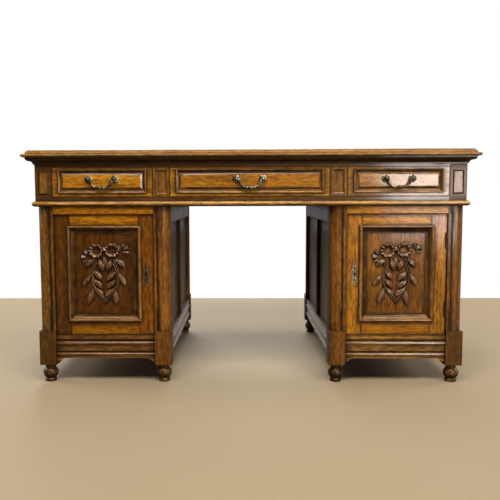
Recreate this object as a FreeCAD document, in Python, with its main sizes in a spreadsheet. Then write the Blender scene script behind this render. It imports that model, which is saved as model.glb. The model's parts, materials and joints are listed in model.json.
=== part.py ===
import FreeCAD, Part
import os
from math import atan2, sqrt
from types import SimpleNamespace

import Sketcher

# Driving sizes in millimetres. X runs along the desk, the front faces -Y, and Z is up from the floor.
SIZES = {
    "desk_height": 780,
    "top_width": 1490,
    "top_depth": 900,
    "top_overhang": 35,
    "top_thickness": 24,
    "top_border": 90,
    "nosing_radius": 5.5,
    "cornice_height": 23,
    "cornice_lip": 4,
    "cornice_fillet": 2,
    "cornice_quirk": 1,
    "rail_thickness": 24,
    "frieze_top_rail": 9,
    "drawer_opening": 98,
    "frieze_bottom_rail": 14,
    "bead_height": 17,
    "bead_reach": 9.5,
    "ring_seat": 30,
    "pedestal_width": 446,
    "post_width": 56,
    "block_height": 116,
    "column_setback": 2.5,
    "column_radius": 27,
    "column_width": 42,
    "quirk": 2.5,
    "foot_height": 60,
    "foot_bulb_radius": 25.5,
    "foot_neck_radius": 17,
    "foot_base_radius": 19,
    "foot_collar": 2,
    "foot_flare": 4,
    "apron_edge": 10,
    "lower_ovolo": 9.5,
    "lower_groove": 6,
    "plinth_band": 23,
    "upper_ovolo": 10,
    "upper_groove": 7,
    "threshold": 13,
    "apron_bottom": 83,
    "plinth_thickness": 26,
    "plinth_setback": 2,
    "plinth_groove_depth": 9,
    "apron_setback": 4,
    "band_setback": 3,
    "lower_ovolo_setback": 1,
    "threshold_setback": 2,
    "bracket_length": 32,
    "bracket_drop": 11,
    "head_rail": 26,
    "side_rail": 57,
    "side_thickness": 22,
    "side_setback": 4,
    "side_panel_thickness": 10,
    "muntin_width": 56,
    "carcase_board": 12,
    "shelf_thickness": 14,
    "shelf_height": 372,
    "shelf_setback": 60,
    "door_setback": 7.5,
    "door_gap": 1.5,
    "door_thickness": 22,
    "stile_width": 51,
    "top_door_rail": 46,
    "bottom_door_rail": 53,
    "door_panel_thickness": 10,
    "door_panel_sink": 6,
    "door_panel_tongue": 8,
    "bolection_band": 28,
    "bolection_lap": 10,
    "bolection_bead": 5,
    "bolection_quirk": 1,
    "barrel_radius": 3.5,
    "barrel_length": 26,
    "barrel_clearance": 0.3,
    "barrel_offset": 4,
    "pin_radius": 2,
    "pin_clearance": 0.06,
    "blade_thickness": 1.8,
    "blade_depth": 16,
    "hinge_inset": 62,
    "lock_height": 369,
    "lock_backset": 27,
    "lock_width": 54,
    "lock_tall": 62,
    "lock_depth": 14,
    "lock_wall": 3,
    "bolt_length": 36,
    "bolt_tall": 14,
    "bolt_throw": 8,
    "bolt_clearance": 0.4,
    "escutcheon_tall": 88,
    "escutcheon_width": 20,
    "escutcheon_thickness": 1.6,
    "keyhole_radius": 2.6,
    "drawer_gap": 0.8,
    "drawer_front_thickness": 22,
    "drawer_side": 12,
    "drawer_side_height": 78,
    "drawer_back_room": 12,
    "drawer_bottom": 7,
    "drawer_bottom_lift": 6,
    "runner_clearance": 0.3,
    "runner_width": 30,
    "partition": 18,
    "front_margin_side": 20,
    "front_margin_top": 6,
    "front_margin_bottom": 11,
    "front_band": 15,
    "front_moulding_height": 6,
    "field_bevel": 9,
    "field_rise": 4,
    "post_sink": 3,
    "post_field_margin": 10,
    "handle_spacing": 87,
    "rosette_radius": 13,
    "rosette_edge": 1,
    "rosette_shoulder": 3,
    "rosette_rise": 4,
    "handle_neck_radius": 4.2,
    "handle_head_radius": 6.2,
    "handle_reach": 13,
    "bail_wire_radius": 2.6,
    "bail_clearance": 0.1,
    "bail_drop": 27,
    "bail_grip": 36,
    "bail_shoulder_radius": 17,
    "bail_bend_radius": 4,
    "bail_knop_radius": 4,
    "bail_knop_spacing": 13,
}
PLANK_COUNT = 5
FLOOR_BOARD_COUNT = 4

doc = FreeCAD.newDocument("partners_desk")
sheet = doc.addObject("Spreadsheet::Sheet", "sizes")


class Size:
    """A length: its number, and the expression that ties it to the sheet."""

    def __init__(self, value, text):
        self.value = value
        self.text = text

    def __add__(self, other):
        other = as_size(other)
        return Size(self.value + other.value, f"({self.text} + {other.text})")

    def __sub__(self, other):
        other = as_size(other)
        return Size(self.value - other.value, f"({self.text} - {other.text})")

    def __mul__(self, other):
        other = as_size(other)
        return Size(self.value * other.value, f"({self.text} * {other.text})")

    def __truediv__(self, other):
        other = as_size(other)
        return Size(self.value / other.value, f"({self.text} / {other.text})")

    def __rsub__(self, other):
        return as_size(other) - self

    def __neg__(self):
        return Size(-self.value, f"(0 - {self.text})")

    def root(self):
        return Size(sqrt(self.value), f"sqrt({self.text})")

    __radd__ = __add__
    __rmul__ = __mul__


def as_size(item):
    if isinstance(item, Size):
        return item
    return Size(float(item), repr(float(item)))


for row, (alias, number) in enumerate(SIZES.items(), start=1):
    sheet.set(f"A{row}", alias.replace("_", " "))
    sheet.set(f"B{row}", str(number))
    sheet.setAlias(f"B{row}", alias)
doc.recompute()
size = SimpleNamespace(**{alias: Size(float(number), f"sizes.{alias}") for alias, number in SIZES.items()})
ZERO = as_size(0)
X_AXIS = FreeCAD.Vector(1, 0, 0)
Y_AXIS = FreeCAD.Vector(0, 1, 0)
Z_AXIS = FreeCAD.Vector(0, 0, 1)
NO_TURN = FreeCAD.Rotation()
STAND_UP = FreeCAD.Rotation(X_AXIS, 90)


def bind(thing, prop, length):
    thing.setExpression(prop, as_size(length).text)


def put(thing, place, turn=NO_TURN):
    """Place an object by three sizes, after an optional turn."""
    thing.Placement = FreeCAD.Placement(FreeCAD.Vector(), turn)
    for axis, length in zip("xyz", place):
        bind(thing, f"Placement.Base.{axis}", length)
    return thing


def board(name, x, y, z):
    """A plain board between two places on each axis."""
    box = doc.addObject("Part::Box", name)
    for prop, (low, high) in zip(("Length", "Width", "Height"), (x, y, z)):
        bind(box, prop, as_size(high) - low)
    return put(box, (x[0], y[0], z[0]))


def rod(name, radius, length, place, turn=NO_TURN):
    cylinder = doc.addObject("Part::Cylinder", name)
    bind(cylinder, "Radius", radius)
    bind(cylinder, "Height", length)
    return put(cylinder, place, turn)


def frustum(name, front, back, y):
    """A block whose front and back faces are rectangles of different sizes, centred on X and Z."""
    wedge = doc.addObject("Part::Wedge", name)
    for prop, length in (("Xmin", -front[0] / 2), ("Xmax", front[0] / 2), ("Zmin", -front[1] / 2),
                         ("Zmax", front[1] / 2), ("X2min", -back[0] / 2), ("X2max", back[0] / 2),
                         ("Z2min", -back[1] / 2), ("Z2max", back[1] / 2), ("Ymin", y[0]), ("Ymax", y[1])):
        bind(wedge, prop, length)
    return wedge


def group(name, pieces):
    compound = doc.addObject("Part::Compound", name)
    compound.Links = pieces
    return compound


def placed(name, source, place, turn=NO_TURN):
    return put(group(name, [source]), place, turn)


def cut(name, base, tools):
    result = doc.addObject("Part::Cut", name)
    result.Base = base
    result.Tool = tools[0] if len(tools) == 1 else group(f"{name}_tools", tools)
    return result


def fused(name, pieces):
    result = doc.addObject("Part::MultiFuse", name)
    result.Shapes = pieces
    return result


def mirrored(name, source, axis):
    copy = doc.addObject("Part::Mirroring", name)
    copy.Source = source
    copy.Normal = axis
    return copy


def about_face(name, source):
    """The same thing turned half round, for the other long side of the desk."""
    return placed(name, source, (ZERO, ZERO, ZERO), FreeCAD.Rotation(Z_AXIS, 180))


def four_ways(name, quarter):
    """A quarter of the desk and its copies to the right, to the back and to the back right."""
    return [quarter, mirrored(f"{name}_right", quarter, X_AXIS),
            mirrored(f"{name}_back", quarter, Y_AXIS), about_face(f"{name}_back_right", quarter)]


def origin_plane(body, role):
    return next(item for item in body.Origin.OriginFeatures if item.Role == role)


def outline(body, name, role, points):
    """A closed sketch through points (across, up, bend), anticlockwise. bend is None for a straight
    stretch to the next point, else an arc's radius, positive where the outline turns left."""
    sketch = body.newObject("Sketcher::SketchObject", name)
    sketch.AttachmentSupport = [(origin_plane(body, role), "")]
    sketch.MapMode = "FlatFace"
    places = [FreeCAD.Vector(as_size(a).value, as_size(b).value, 0) for a, b, bend in points]
    ends = []
    for index, (across, up, bend) in enumerate(points):
        start, finish = places[index], places[(index + 1) % len(points)]
        if bend is None:
            sketch.addGeometry(Part.LineSegment(start, finish))
            ends.append((1, 2))
            continue
        radius = abs(bend.value)
        chord = finish - start
        left = FreeCAD.Vector(-chord.y, chord.x, 0) / chord.Length
        side = 1 if bend.value > 0 else -1
        centre = (start + finish) / 2 + left * side * sqrt(max(radius**2 - chord.Length**2 / 4, 0))
        first, last = (start, finish) if side > 0 else (finish, start)
        angles = [atan2(spot.y - centre.y, spot.x - centre.x) for spot in (first, last)]
        sketch.addGeometry(Part.ArcOfCircle(Part.Circle(centre, Z_AXIS, radius), *angles))
        ends.append((1, 2) if side > 0 else (2, 1))
    for index, (across, up, bend) in enumerate(points):
        after = (index + 1) % len(points)
        sketch.addConstraint(Sketcher.Constraint("Coincident", index, ends[index][1], after, ends[after][0]))
        for kind, length in (("DistanceX", across), ("DistanceY", up)):
            length = as_size(length)
            number = sketch.addConstraint(
                Sketcher.Constraint(kind, -1, 1, index, ends[index][0], length.value))
            bind(sketch, f"Constraints[{number}]", length)
        if bend is not None:
            radius = bend if bend.value > 0 else -bend
            number = sketch.addConstraint(Sketcher.Constraint("Radius", index, radius.value))
            bind(sketch, f"Constraints[{number}]", radius)
    return sketch


def padded(name, role, outlines):
    """A body padded from one or more outlines, each with its own length."""
    body = doc.addObject("PartDesign::Body", name)
    for index, (points, length) in enumerate(outlines):
        pad = body.newObject("PartDesign::Pad", f"{name}_pad_{index}")
        pad.Profile = outline(body, f"{name}_outline_{index}", role, points)
        bind(pad, "Length", length)
    body.Tip = pad
    return body


def turned(name, points):
    """A body turned on the lathe about Z, from an outline of (radius, height)."""
    body = doc.addObject("PartDesign::Body", name)
    sketch = outline(body, f"{name}_outline", "XZ_Plane", points)
    spin = body.newObject("PartDesign::Revolution", f"{name}_turning")
    spin.Profile = sketch
    spin.ReferenceAxis = (sketch, ["V_Axis"])
    spin.Angle = 360
    body.Tip = spin
    return body


def mitred_length(name, profile, along, apart, band, low, high):
    """One length of moulding along X, its outer edge at half of apart in front, mitred at both ends."""
    run = put(padded(f"{name}_run", "YZ_Plane", [(profile, along)]), (-along / 2, -apart / 2, ZERO))
    mitre = doc.addObject("Part::Wedge", f"{name}_mitre")
    for prop, length in (("Xmin", -along / 2), ("Xmax", along / 2), ("X2min", band - along / 2),
                         ("X2max", along / 2 - band), ("Ymin", -apart / 2), ("Ymax", band - apart / 2),
                         ("Zmin", low), ("Z2min", low), ("Zmax", high), ("Z2max", high)):
        bind(mitre, prop, length)
    length = doc.addObject("Part::Common", name)
    length.Base = run
    length.Tool = mitre
    return length


def mitred_frame(name, profile, width, depth, band, low, high):
    """Four mitred lengths round a rectangle that lies flat, the moulding's face up."""
    lengths = []
    for label, along, apart, quarter in (("long", width, depth, 0), ("short", depth, width, 90)):
        first = mitred_length(f"{name}_{label}", profile, along, apart, band, low, high)
        for turn in (quarter, quarter + 180):
            lengths.append(placed(f"{name}_{label}_{turn}", first, (ZERO, ZERO, ZERO),
                                  FreeCAD.Rotation(Z_AXIS, turn)))
    return group(f"{name}_frame", lengths)


# Levels and planes that the pieces share
half_width = size.top_width / 2
half_depth = size.top_depth / 2
side_plane = half_width - size.top_overhang
front_plane = half_depth - size.top_overhang
edging_level = size.desk_height - size.top_thickness
cornice_level = edging_level - size.cornice_height
opening_top = cornice_level - size.frieze_top_rail
opening_bottom = opening_top - size.drawer_opening
bead_top = opening_bottom - size.frieze_bottom_rail
pedestal_top = bead_top - size.bead_height
knee_plane = side_plane - size.pedestal_width
outer_jamb = side_plane - size.post_width
inner_jamb = knee_plane + size.post_width
post_back = front_plane - size.post_width
rail_back = front_plane - size.rail_thickness
plinth_height = (size.apron_edge + size.lower_ovolo + size.lower_groove + size.plinth_band
                 + size.upper_ovolo + size.upper_groove + size.threshold)
door_sill = size.apron_bottom + plinth_height
door_head = pedestal_top - size.head_rail
nodes = {}


def node(name, thing):
    thing.Label = name
    nodes[name] = thing
    return thing


# Top: planks inside four mitred edge boards with a thumb nosing and an ovolo above it
nose = size.nosing_radius
ovolo = size.top_thickness - nose * 2
edging_profile = [
    (nose, ZERO, None), (size.top_border, ZERO, None), (size.top_border, size.top_thickness, None),
    (size.top_thickness, size.top_thickness, ovolo), (nose * 2, nose * 2, None),
    (nose, nose * 2, nose), (ZERO, nose, nose)]
edging = mitred_frame("edging", edging_profile, size.top_width, size.top_depth, size.top_border,
                      ZERO, size.top_thickness)
node("top_edging", placed("top_edging", edging, (ZERO, ZERO, edging_level)))
plank_reach = half_width - size.top_border
plank_width = (size.top_depth - size.top_border * 2) / PLANK_COUNT
planks = []
for index in range(PLANK_COUNT):
    near = plank_width * (index - PLANK_COUNT / 2)
    planks.append(board(f"plank_{index}", (-plank_reach, plank_reach), (near, near + plank_width),
                        (edging_level, size.desk_height)))
node("top_boards", group("top_boards", planks))

# Cornice under the top: a fillet, an ovolo running into a cove, and a lip on the frieze
curve = (size.cornice_height - size.cornice_fillet - size.cornice_quirk) / 2
fillet_level = size.cornice_height - size.cornice_fillet
cornice_reach = curve * 2 + size.cornice_lip
cornice_band = cornice_reach + size.ring_seat
cornice_profile = [
    (curve * 2, ZERO, None), (cornice_band, ZERO, None), (cornice_band, size.cornice_height, None),
    (ZERO, size.cornice_height, None), (ZERO, fillet_level, curve),
    (curve, fillet_level - curve, -curve), (curve * 2, size.cornice_quirk, None)]
cornice = mitred_frame("cornice", cornice_profile, (side_plane + cornice_reach) * 2,
                       (front_plane + cornice_reach) * 2, cornice_band, ZERO, size.cornice_height)
node("cornice_moulding", placed("cornice_moulding", cornice, (ZERO, ZERO, cornice_level)))

# Bead under the frieze: a half round on a flat seat
round_over = size.bead_height / 2
bead_band = size.bead_reach + size.ring_seat
bead_profile = [
    (round_over, ZERO, None), (bead_band, ZERO, None), (bead_band, size.bead_height, None),
    (round_over, size.bead_height, round_over), (ZERO, round_over, round_over)]
bead = mitred_frame("bead", bead_profile, (side_plane + size.bead_reach) * 2,
                    (front_plane + size.bead_reach) * 2, bead_band, ZERO, size.bead_height)
node("bead_moulding", placed("bead_moulding", bead, (ZERO, ZERO, pedestal_top)))

# Frieze rails above and below the drawers, and across the two ends
rails = []
for label, low, high in (("upper", opening_top, cornice_level), ("lower", bead_top, opening_bottom)):
    front_rail = board(f"{label}_front_rail", (-outer_jamb, outer_jamb), (-front_plane, -rail_back),
                       (low, high))
    end_rail = board(f"{label}_end_rail", (-side_plane, size.rail_thickness - side_plane),
                     (-post_back, post_back), (low, high))
    rails += [front_rail, mirrored(f"{label}_back_rail", front_rail, Y_AXIS),
              end_rail, mirrored(f"{label}_right_rail", end_rail, X_AXIS)]
node("frieze_rails", group("frieze_rails", rails))

# Corner posts of the frieze with a raised field in a sunk panel on both outer faces
post_middle = (cornice_level + bead_top) / 2
sunk_width = size.post_width - size.post_field_margin * 2
sunk_tall = size.drawer_opening - size.post_field_margin * 2
field_base = (sunk_width, sunk_tall)
field_face = (sunk_width - size.field_bevel, sunk_tall - size.field_bevel)
corner_x = size.post_width / 2 - side_plane
corner_y = size.post_width / 2 - front_plane
FACE_LEFT = FreeCAD.Rotation(Z_AXIS, -90)
corner = board("corner_stock", (-side_plane, -outer_jamb), (-front_plane, -post_back),
               (bead_top, cornice_level))
sinkings = []
corner_fields = []
for label, place, turn in (("front", (corner_x, -front_plane, post_middle), NO_TURN),
                           ("end", (-side_plane, corner_y, post_middle), FACE_LEFT)):
    sinking = frustum(f"corner_sinking_{label}", field_base, field_base, (-size.post_sink, size.post_sink))
    sinkings.append(put(sinking, place, turn))
    field = frustum(f"corner_field_{label}", field_face, field_base, (ZERO, size.post_sink))
    corner_fields.append(put(field, place, turn))
corner = cut("corner_post", corner, sinkings)

# Divider dies between the drawers, with a bevelled sinking
die_x = -(knee_plane + inner_jamb) / 2
die_stock = board("die_stock", (-inner_jamb, -knee_plane), (-front_plane, -rail_back),
                  (opening_bottom, opening_top))
opening_middle = (opening_bottom + opening_top) / 2
die_sinking = put(frustum("die_sinking", field_base, field_face, (ZERO, size.post_sink)),
                  (die_x, -front_plane, opening_middle))
die = cut("die", die_stock, [die_sinking])
frieze_corner = group("frieze_corner", [corner, *corner_fields, die])
node("frieze_posts", group("frieze_posts", four_ways("frieze_corner", frieze_corner)))

# Moulding that frames a drawer front: a bead outside and a hollow running down to the field
strip_bead = size.front_moulding_height * 5 / 12
strip_profile = [
    (ZERO, ZERO, None), (size.front_band, ZERO, None),
    (size.front_band, size.front_moulding_height / 4, -size.front_band * 4 / 3),
    (strip_bead * 2, size.front_moulding_height - strip_bead, strip_bead),
    (strip_bead, size.front_moulding_height, strip_bead),
    (ZERO, size.front_moulding_height - strip_bead, None)]
front_tall = size.drawer_opening - size.drawer_gap * 2
front_middle = front_tall / 2 + (size.front_margin_bottom - size.front_margin_top) / 2


def framed_front(name, width):
    """A board standing on Z = 0 with its face at Y = 0, framed by a moulding round a raised field."""
    stock = board(f"{name}_board", (-width / 2, width / 2), (ZERO, size.drawer_front_thickness),
                  (ZERO, front_tall))
    frame_width = width - size.front_margin_side * 2
    frame_tall = front_tall - size.front_margin_top - size.front_margin_bottom
    frame = mitred_frame(f"{name}_strip", strip_profile, frame_width, frame_tall, size.front_band,
                         ZERO, size.front_moulding_height)
    put(frame, (ZERO, ZERO, front_middle), STAND_UP)
    base = (frame_width - size.front_band * 2, frame_tall - size.front_band * 2)
    face = (base[0] - size.field_bevel * 2, base[1] - size.field_bevel * 2)
    field = put(frustum(f"{name}_field", face, base, (-size.field_rise, ZERO)), (ZERO, ZERO, front_middle))
    return group(f"{name}_front", [stock, frame, field])


# Ends of the frieze: two false fronts each side of a middle die
end_span = (post_back * 2 - size.muntin_width) / 2
false_front = put(framed_front("false", end_span), (-side_plane, -(size.muntin_width + end_span) / 2,
                                                    opening_bottom + size.drawer_gap), FACE_LEFT)
end_die = board("end_die", (-side_plane, size.drawer_front_thickness - side_plane),
                (-size.muntin_width / 2, size.muntin_width / 2), (opening_bottom, opening_top))
node("frieze_end_panels", group("frieze_end_panels", four_ways("false_front", false_front) + [
    end_die, mirrored("end_die_right", end_die, X_AXIS)]))

# Inside the frieze: floor boards, partitions, runners and the board that stops the drawers
floor_x = side_plane - size.ring_seat
floor_y = front_plane - size.ring_seat
floor_board = floor_y * 2 / FLOOR_BOARD_COUNT
inside = []
for index in range(FLOOR_BOARD_COUNT):
    near = floor_board * index - floor_y
    inside.append(board(f"frieze_floor_{index}", (-floor_x, floor_x), (near, near + floor_board),
                        (pedestal_top, bead_top)))
guides = (("outer", -outer_jamb - size.partition, -outer_jamb, post_back),
          ("middle", -inner_jamb, size.partition - inner_jamb, rail_back),
          ("inner", -knee_plane - size.partition, -knee_plane, rail_back))
runners = (("outer", -outer_jamb, size.runner_width - outer_jamb, rail_back),
           ("middle", -inner_jamb - size.runner_width, -inner_jamb, rail_back),
           ("inner", -knee_plane, size.runner_width - knee_plane, rail_back))
for label, low, high, reach in guides:
    guide = board(f"{label}_partition", (low, high), (-reach, reach), (bead_top, cornice_level))
    inside += [guide, mirrored(f"{label}_partition_right", guide, X_AXIS)]
for label, low, high, reach in runners:
    runner = board(f"{label}_runner", (low, high), (-reach, reach), (bead_top, opening_bottom))
    inside += [runner, mirrored(f"{label}_runner_right", runner, X_AXIS)]
stop_y = (-size.partition / 2, size.partition / 2)
side_stop = board("side_stop", (-outer_jamb, -inner_jamb), stop_y, (opening_bottom, cornice_level))
inside += [side_stop, mirrored("side_stop_right", side_stop, X_AXIS),
           board("middle_stop", (-knee_plane, knee_plane), stop_y, (opening_bottom, cornice_level))]
node("drawer_carcase", group("drawer_carcase", inside))

# Pedestal posts: a square block below, and above it a rounded column with a quirk on each face
setback = size.column_setback
arc_end = setback + size.column_radius
quirk_end = size.column_width + size.quirk
quirk_floor = setback + size.quirk
block_outline = [(ZERO, ZERO, None), (size.post_width, ZERO, None),
                 (size.post_width, size.post_width, None), (ZERO, size.post_width, None)]
column_outline = [
    (arc_end, setback, None), (size.column_width, setback, None), (size.column_width, quirk_floor, None),
    (quirk_end, quirk_floor, None), (quirk_end, setback, None), (size.post_width, setback, None),
    (size.post_width, size.post_width, None), (setback, size.post_width, None), (setback, quirk_end, None),
    (quirk_floor, quirk_end, None), (quirk_floor, size.column_width, None),
    (setback, size.column_width, None), (setback, arc_end, size.column_radius)]
post_height = pedestal_top - size.foot_height


def corner_column(name):
    return padded(name, "XY_Plane", [(block_outline, size.block_height), (column_outline, post_height)])


outer_post = put(corner_column("outer_post"), (-side_plane, -front_plane, size.foot_height))
inner_stock = placed("inner_post", mirrored("inner_post_stock", corner_column("inner_post_body"), X_AXIS),
                     (-knee_plane, -front_plane, size.foot_height))

# Door sizes: the door hangs in the opening, behind the face of the columns
door_face = setback + size.door_setback - front_plane
door_back = door_face + size.door_thickness
door_left = size.door_gap - outer_jamb
door_right = -inner_jamb - size.door_gap
door_bottom = door_sill + size.door_gap
door_top = door_head - size.door_gap
door_middle = (door_left + door_right) / 2

# Pin hinges: each half is a barrel with a blade let into the post or the door
hinge_x = size.barrel_offset - outer_jamb
hinge_y = door_face - size.barrel_radius - size.barrel_clearance
half_blade = size.blade_thickness / 2
hinge_levels = (("low", door_bottom + size.hinge_inset),
                ("high", door_top - size.hinge_inset - size.barrel_length * 2))
post_slots = []
post_halves = []
door_slots = []
door_halves = []
for label, level in hinge_levels:
    joint = level + size.barrel_length
    upper = joint + size.barrel_clearance
    upper_end = upper + size.barrel_length
    post_blade_x = (-outer_jamb - size.blade_depth, hinge_x)
    blade_y = (hinge_y - half_blade, hinge_y + half_blade)
    post_slots.append(board(f"{label}_post_slot", (post_blade_x[0], -outer_jamb), blade_y, (level, joint)))
    post_halves.append(fused(f"{label}_post_hinge", [
        rod(f"{label}_lower_barrel", size.barrel_radius, size.barrel_length, (hinge_x, hinge_y, level)),
        rod(f"{label}_pin", size.pin_radius, upper_end - level, (hinge_x, hinge_y, level)),
        board(f"{label}_post_blade", post_blade_x, blade_y, (level, joint))]))
    blade_x = (hinge_x - half_blade, hinge_x + half_blade)
    door_blade_y = (door_face, door_face + size.blade_depth)
    door_slots.append(board(f"{label}_door_slot", blade_x, door_blade_y, (upper, upper_end)))
    leaf = fused(f"{label}_door_leaf", [
        rod(f"{label}_upper_barrel", size.barrel_radius, size.barrel_length, (hinge_x, hinge_y, upper)),
        board(f"{label}_door_blade", blade_x, (hinge_y, door_blade_y[1]), (upper, upper_end))])
    bore = rod(f"{label}_bore", size.pin_radius + size.pin_clearance, size.barrel_length,
               (hinge_x, hinge_y, upper))
    door_halves.append(cut(f"{label}_door_hinge", leaf, [bore]))
post_hinges = group("post_hinges", post_halves)
node("door_hinge_pins", group("door_hinge_pins", four_ways("post_hinges", post_hinges)))

# Lock on the back of the door: a case, a bolt that slides towards the kneehole, and its mortise in the post
case_end = door_right - size.door_gap
case_x = (case_end - size.lock_width, case_end)
case_y = (door_back, door_back + size.lock_depth)
case_z = (size.lock_height - size.lock_tall / 2, size.lock_height + size.lock_tall / 2)
bolt_x = (case_end - size.bolt_length, case_end)
bolt_y = (case_y[0] + size.lock_wall, case_y[1] - size.lock_wall)
bolt_z = (size.lock_height - size.bolt_tall / 2, size.lock_height + size.bolt_tall / 2)


def grown(span, room):
    return (span[0] - room, span[1] + room)


bolt_way_y = grown(bolt_y, size.bolt_clearance)
bolt_way_z = grown(bolt_z, size.bolt_clearance)
case_way = board("bolt_way", grown(bolt_x, size.bolt_clearance), bolt_way_y, bolt_way_z)
lock_case = cut("lock_case", board("lock_case_stock", case_x, case_y, case_z), [case_way])
mortise = board("bolt_mortise", (-inner_jamb, case_end + size.bolt_throw + size.bolt_clearance),
                bolt_way_y, bolt_way_z)
hinge_post = cut("hinge_post", outer_post, post_slots)
strike_post = cut("strike_post", inner_stock, [mortise])
front_posts = group("front_posts", [hinge_post, strike_post])
left_posts = group("left_pedestal_posts", [front_posts, mirrored("back_posts", front_posts, Y_AXIS)])
node("left_pedestal_posts", left_posts)

# Side frames of the pedestal, outer and towards the kneehole, and the rail over each door
outer_face = size.side_setback - side_plane
outer_inside = outer_face + size.side_thickness
inner_face = -knee_plane - size.side_setback
inner_inside = inner_face - size.side_thickness
panel_top = pedestal_top - size.side_rail
half_muntin = size.muntin_width / 2
frames = []
panels = []
for label, face, back, panel_x in (
        ("outer", outer_face, outer_inside, (outer_inside - size.side_panel_thickness, outer_inside)),
        ("inner", inner_inside, inner_face, (inner_inside, inner_inside + size.side_panel_thickness))):
    frames.append(board(f"{label}_side_rail", (face, back), (-post_back, post_back),
                        (panel_top, pedestal_top)))
    frames.append(board(f"{label}_muntin", (face, back), (-half_muntin, half_muntin),
                        (door_sill, panel_top)))
    panel = board(f"{label}_panel", panel_x, (-post_back, -half_muntin), (door_sill, panel_top))
    panels += [panel, mirrored(f"{label}_back_panel", panel, Y_AXIS)]
head_y = (setback - front_plane, setback - front_plane + size.rail_thickness)
head = board("head_rail", (-outer_jamb, -inner_jamb), head_y, (door_head, pedestal_top))
frames += [head, mirrored("back_head_rail", head, Y_AXIS)]
left_frames = node("left_pedestal_frames", group("left_pedestal_frames", frames))
left_panels = node("left_pedestal_panels", group("left_pedestal_panels", panels))

# Plinth rails: a flat threshold, two grooves, two ovolos and a band between them, over a plain apron edge
apron_top = size.apron_edge
lower_top = apron_top + size.lower_ovolo
band_bottom = lower_top + size.lower_groove
band_top = band_bottom + size.plinth_band
upper_top = band_top + size.upper_ovolo
groove_top = upper_top + size.upper_groove
lower_round = size.lower_ovolo * 3 / 4
upper_round = size.upper_ovolo * 4 / 5
groove_floor = size.plinth_groove_depth
plinth_profile = [
    (size.apron_setback, ZERO, None), (size.plinth_thickness, ZERO, None),
    (size.plinth_thickness, plinth_height, None), (size.threshold_setback, plinth_height, None),
    (size.threshold_setback, groove_top, None), (groove_floor, groove_top, None),
    (groove_floor, upper_top, None), (upper_round, upper_top, upper_round),
    (ZERO, upper_top - upper_round, None), (ZERO, band_top, None), (size.band_setback, band_top, None),
    (size.band_setback, band_bottom, None), (groove_floor, band_bottom, None),
    (groove_floor, lower_top, None),
    (size.lower_ovolo_setback + lower_round, lower_top, lower_round),
    (size.lower_ovolo_setback, lower_top - lower_round, None),
    (size.lower_ovolo_setback, apron_top, None), (size.apron_setback, apron_top, None)]
plinth_y = size.plinth_setback - front_plane
door_width = outer_jamb - inner_jamb
front_plinth = put(padded("front_plinth", "YZ_Plane", [(plinth_profile, door_width)]),
                   (-outer_jamb, plinth_y, size.apron_bottom))
side_length = post_back * 2
side_plinth = padded("side_plinth", "YZ_Plane", [(plinth_profile, side_length)])
outer_plinth = placed("outer_plinth", side_plinth, (size.plinth_setback - side_plane, post_back,
                                                    size.apron_bottom), FACE_LEFT)
kneehole_plinth = placed("kneehole_plinth", side_plinth, (-knee_plane - size.plinth_setback, -post_back,
                                                          size.apron_bottom), FreeCAD.Rotation(Z_AXIS, 90))
# Brackets under the ends of the apron, each hollowed by a quarter round
bracket_y = (plinth_y + size.apron_setback, plinth_y + size.plinth_thickness)
bracket_low = size.apron_bottom - size.bracket_drop
bracket_stock = board("bracket_stock", (-outer_jamb, size.bracket_length - outer_jamb), bracket_y,
                      (bracket_low, size.apron_bottom))
hollow_radius = ((size.bracket_length - size.bracket_drop) * (size.bracket_length - size.bracket_drop)
                 / size.bracket_drop + size.bracket_drop) / 2
hollow = rod("bracket_hollow", hollow_radius, size.plinth_thickness,
             (size.bracket_length - outer_jamb, bracket_y[1], size.apron_bottom - hollow_radius), STAND_UP)
bracket = cut("bracket", bracket_stock, [hollow])
other_bracket = placed("other_bracket", mirrored("bracket_mirror", bracket, X_AXIS),
                       (-outer_jamb - inner_jamb, ZERO, ZERO))
front_apron = group("front_apron", [front_plinth, bracket, other_bracket])
left_plinth = node("left_plinth", group("left_plinth", [
    front_apron, mirrored("back_apron", front_apron, Y_AXIS), outer_plinth, kneehole_plinth]))

# Cupboards: floor, ceiling, the partition between front and back, and a shelf on each side of it
cupboard_x = (outer_inside, inner_inside)
jambs_x = (-outer_jamb, -inner_jamb)
floor_z = (door_sill - size.shelf_thickness, door_sill)
ceiling_z = (pedestal_top - size.carcase_board, pedestal_top)
plinth_back = -plinth_y - size.plinth_thickness
plinth_room = size.plinth_setback + size.plinth_thickness - size.side_setback - size.side_thickness
boards = []
for label, span_z, side_room, strip_front in (("floor", floor_z, plinth_room, plinth_back),
                                           ("ceiling", ceiling_z, ZERO, -head_y[1])):
    wide = (cupboard_x[0] + side_room, cupboard_x[1] - side_room)
    front_strip = board(f"cupboard_{label}_strip", jambs_x, (-strip_front, -post_back), span_z)
    boards += [board(f"cupboard_{label}", wide, (-post_back, post_back), span_z),
               front_strip, mirrored(f"cupboard_{label}_back_strip", front_strip, Y_AXIS)]
half_partition = size.carcase_board / 2
boards.append(board("cupboard_partition", cupboard_x, (-half_partition, half_partition),
                    (door_sill, ceiling_z[0])))
shelf = board("cupboard_shelf", cupboard_x, (size.shelf_setback - front_plane, -half_partition),
              (size.shelf_height, size.shelf_height + size.shelf_thickness))
boards += [shelf, mirrored("back_shelf", shelf, Y_AXIS)]
left_boards = node("left_cupboard_boards", group("left_cupboard_boards", boards))

# The right pedestal is the left one mirrored
for part_name in ("posts", "frames", "panels"):
    node(f"right_pedestal_{part_name}", mirrored(f"right_pedestal_{part_name}",
                                                 nodes[f"left_pedestal_{part_name}"], X_AXIS))
node("right_plinth", mirrored("right_plinth", left_plinth, X_AXIS))
node("right_cupboard_boards", mirrored("right_cupboard_boards", left_boards, X_AXIS))

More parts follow.
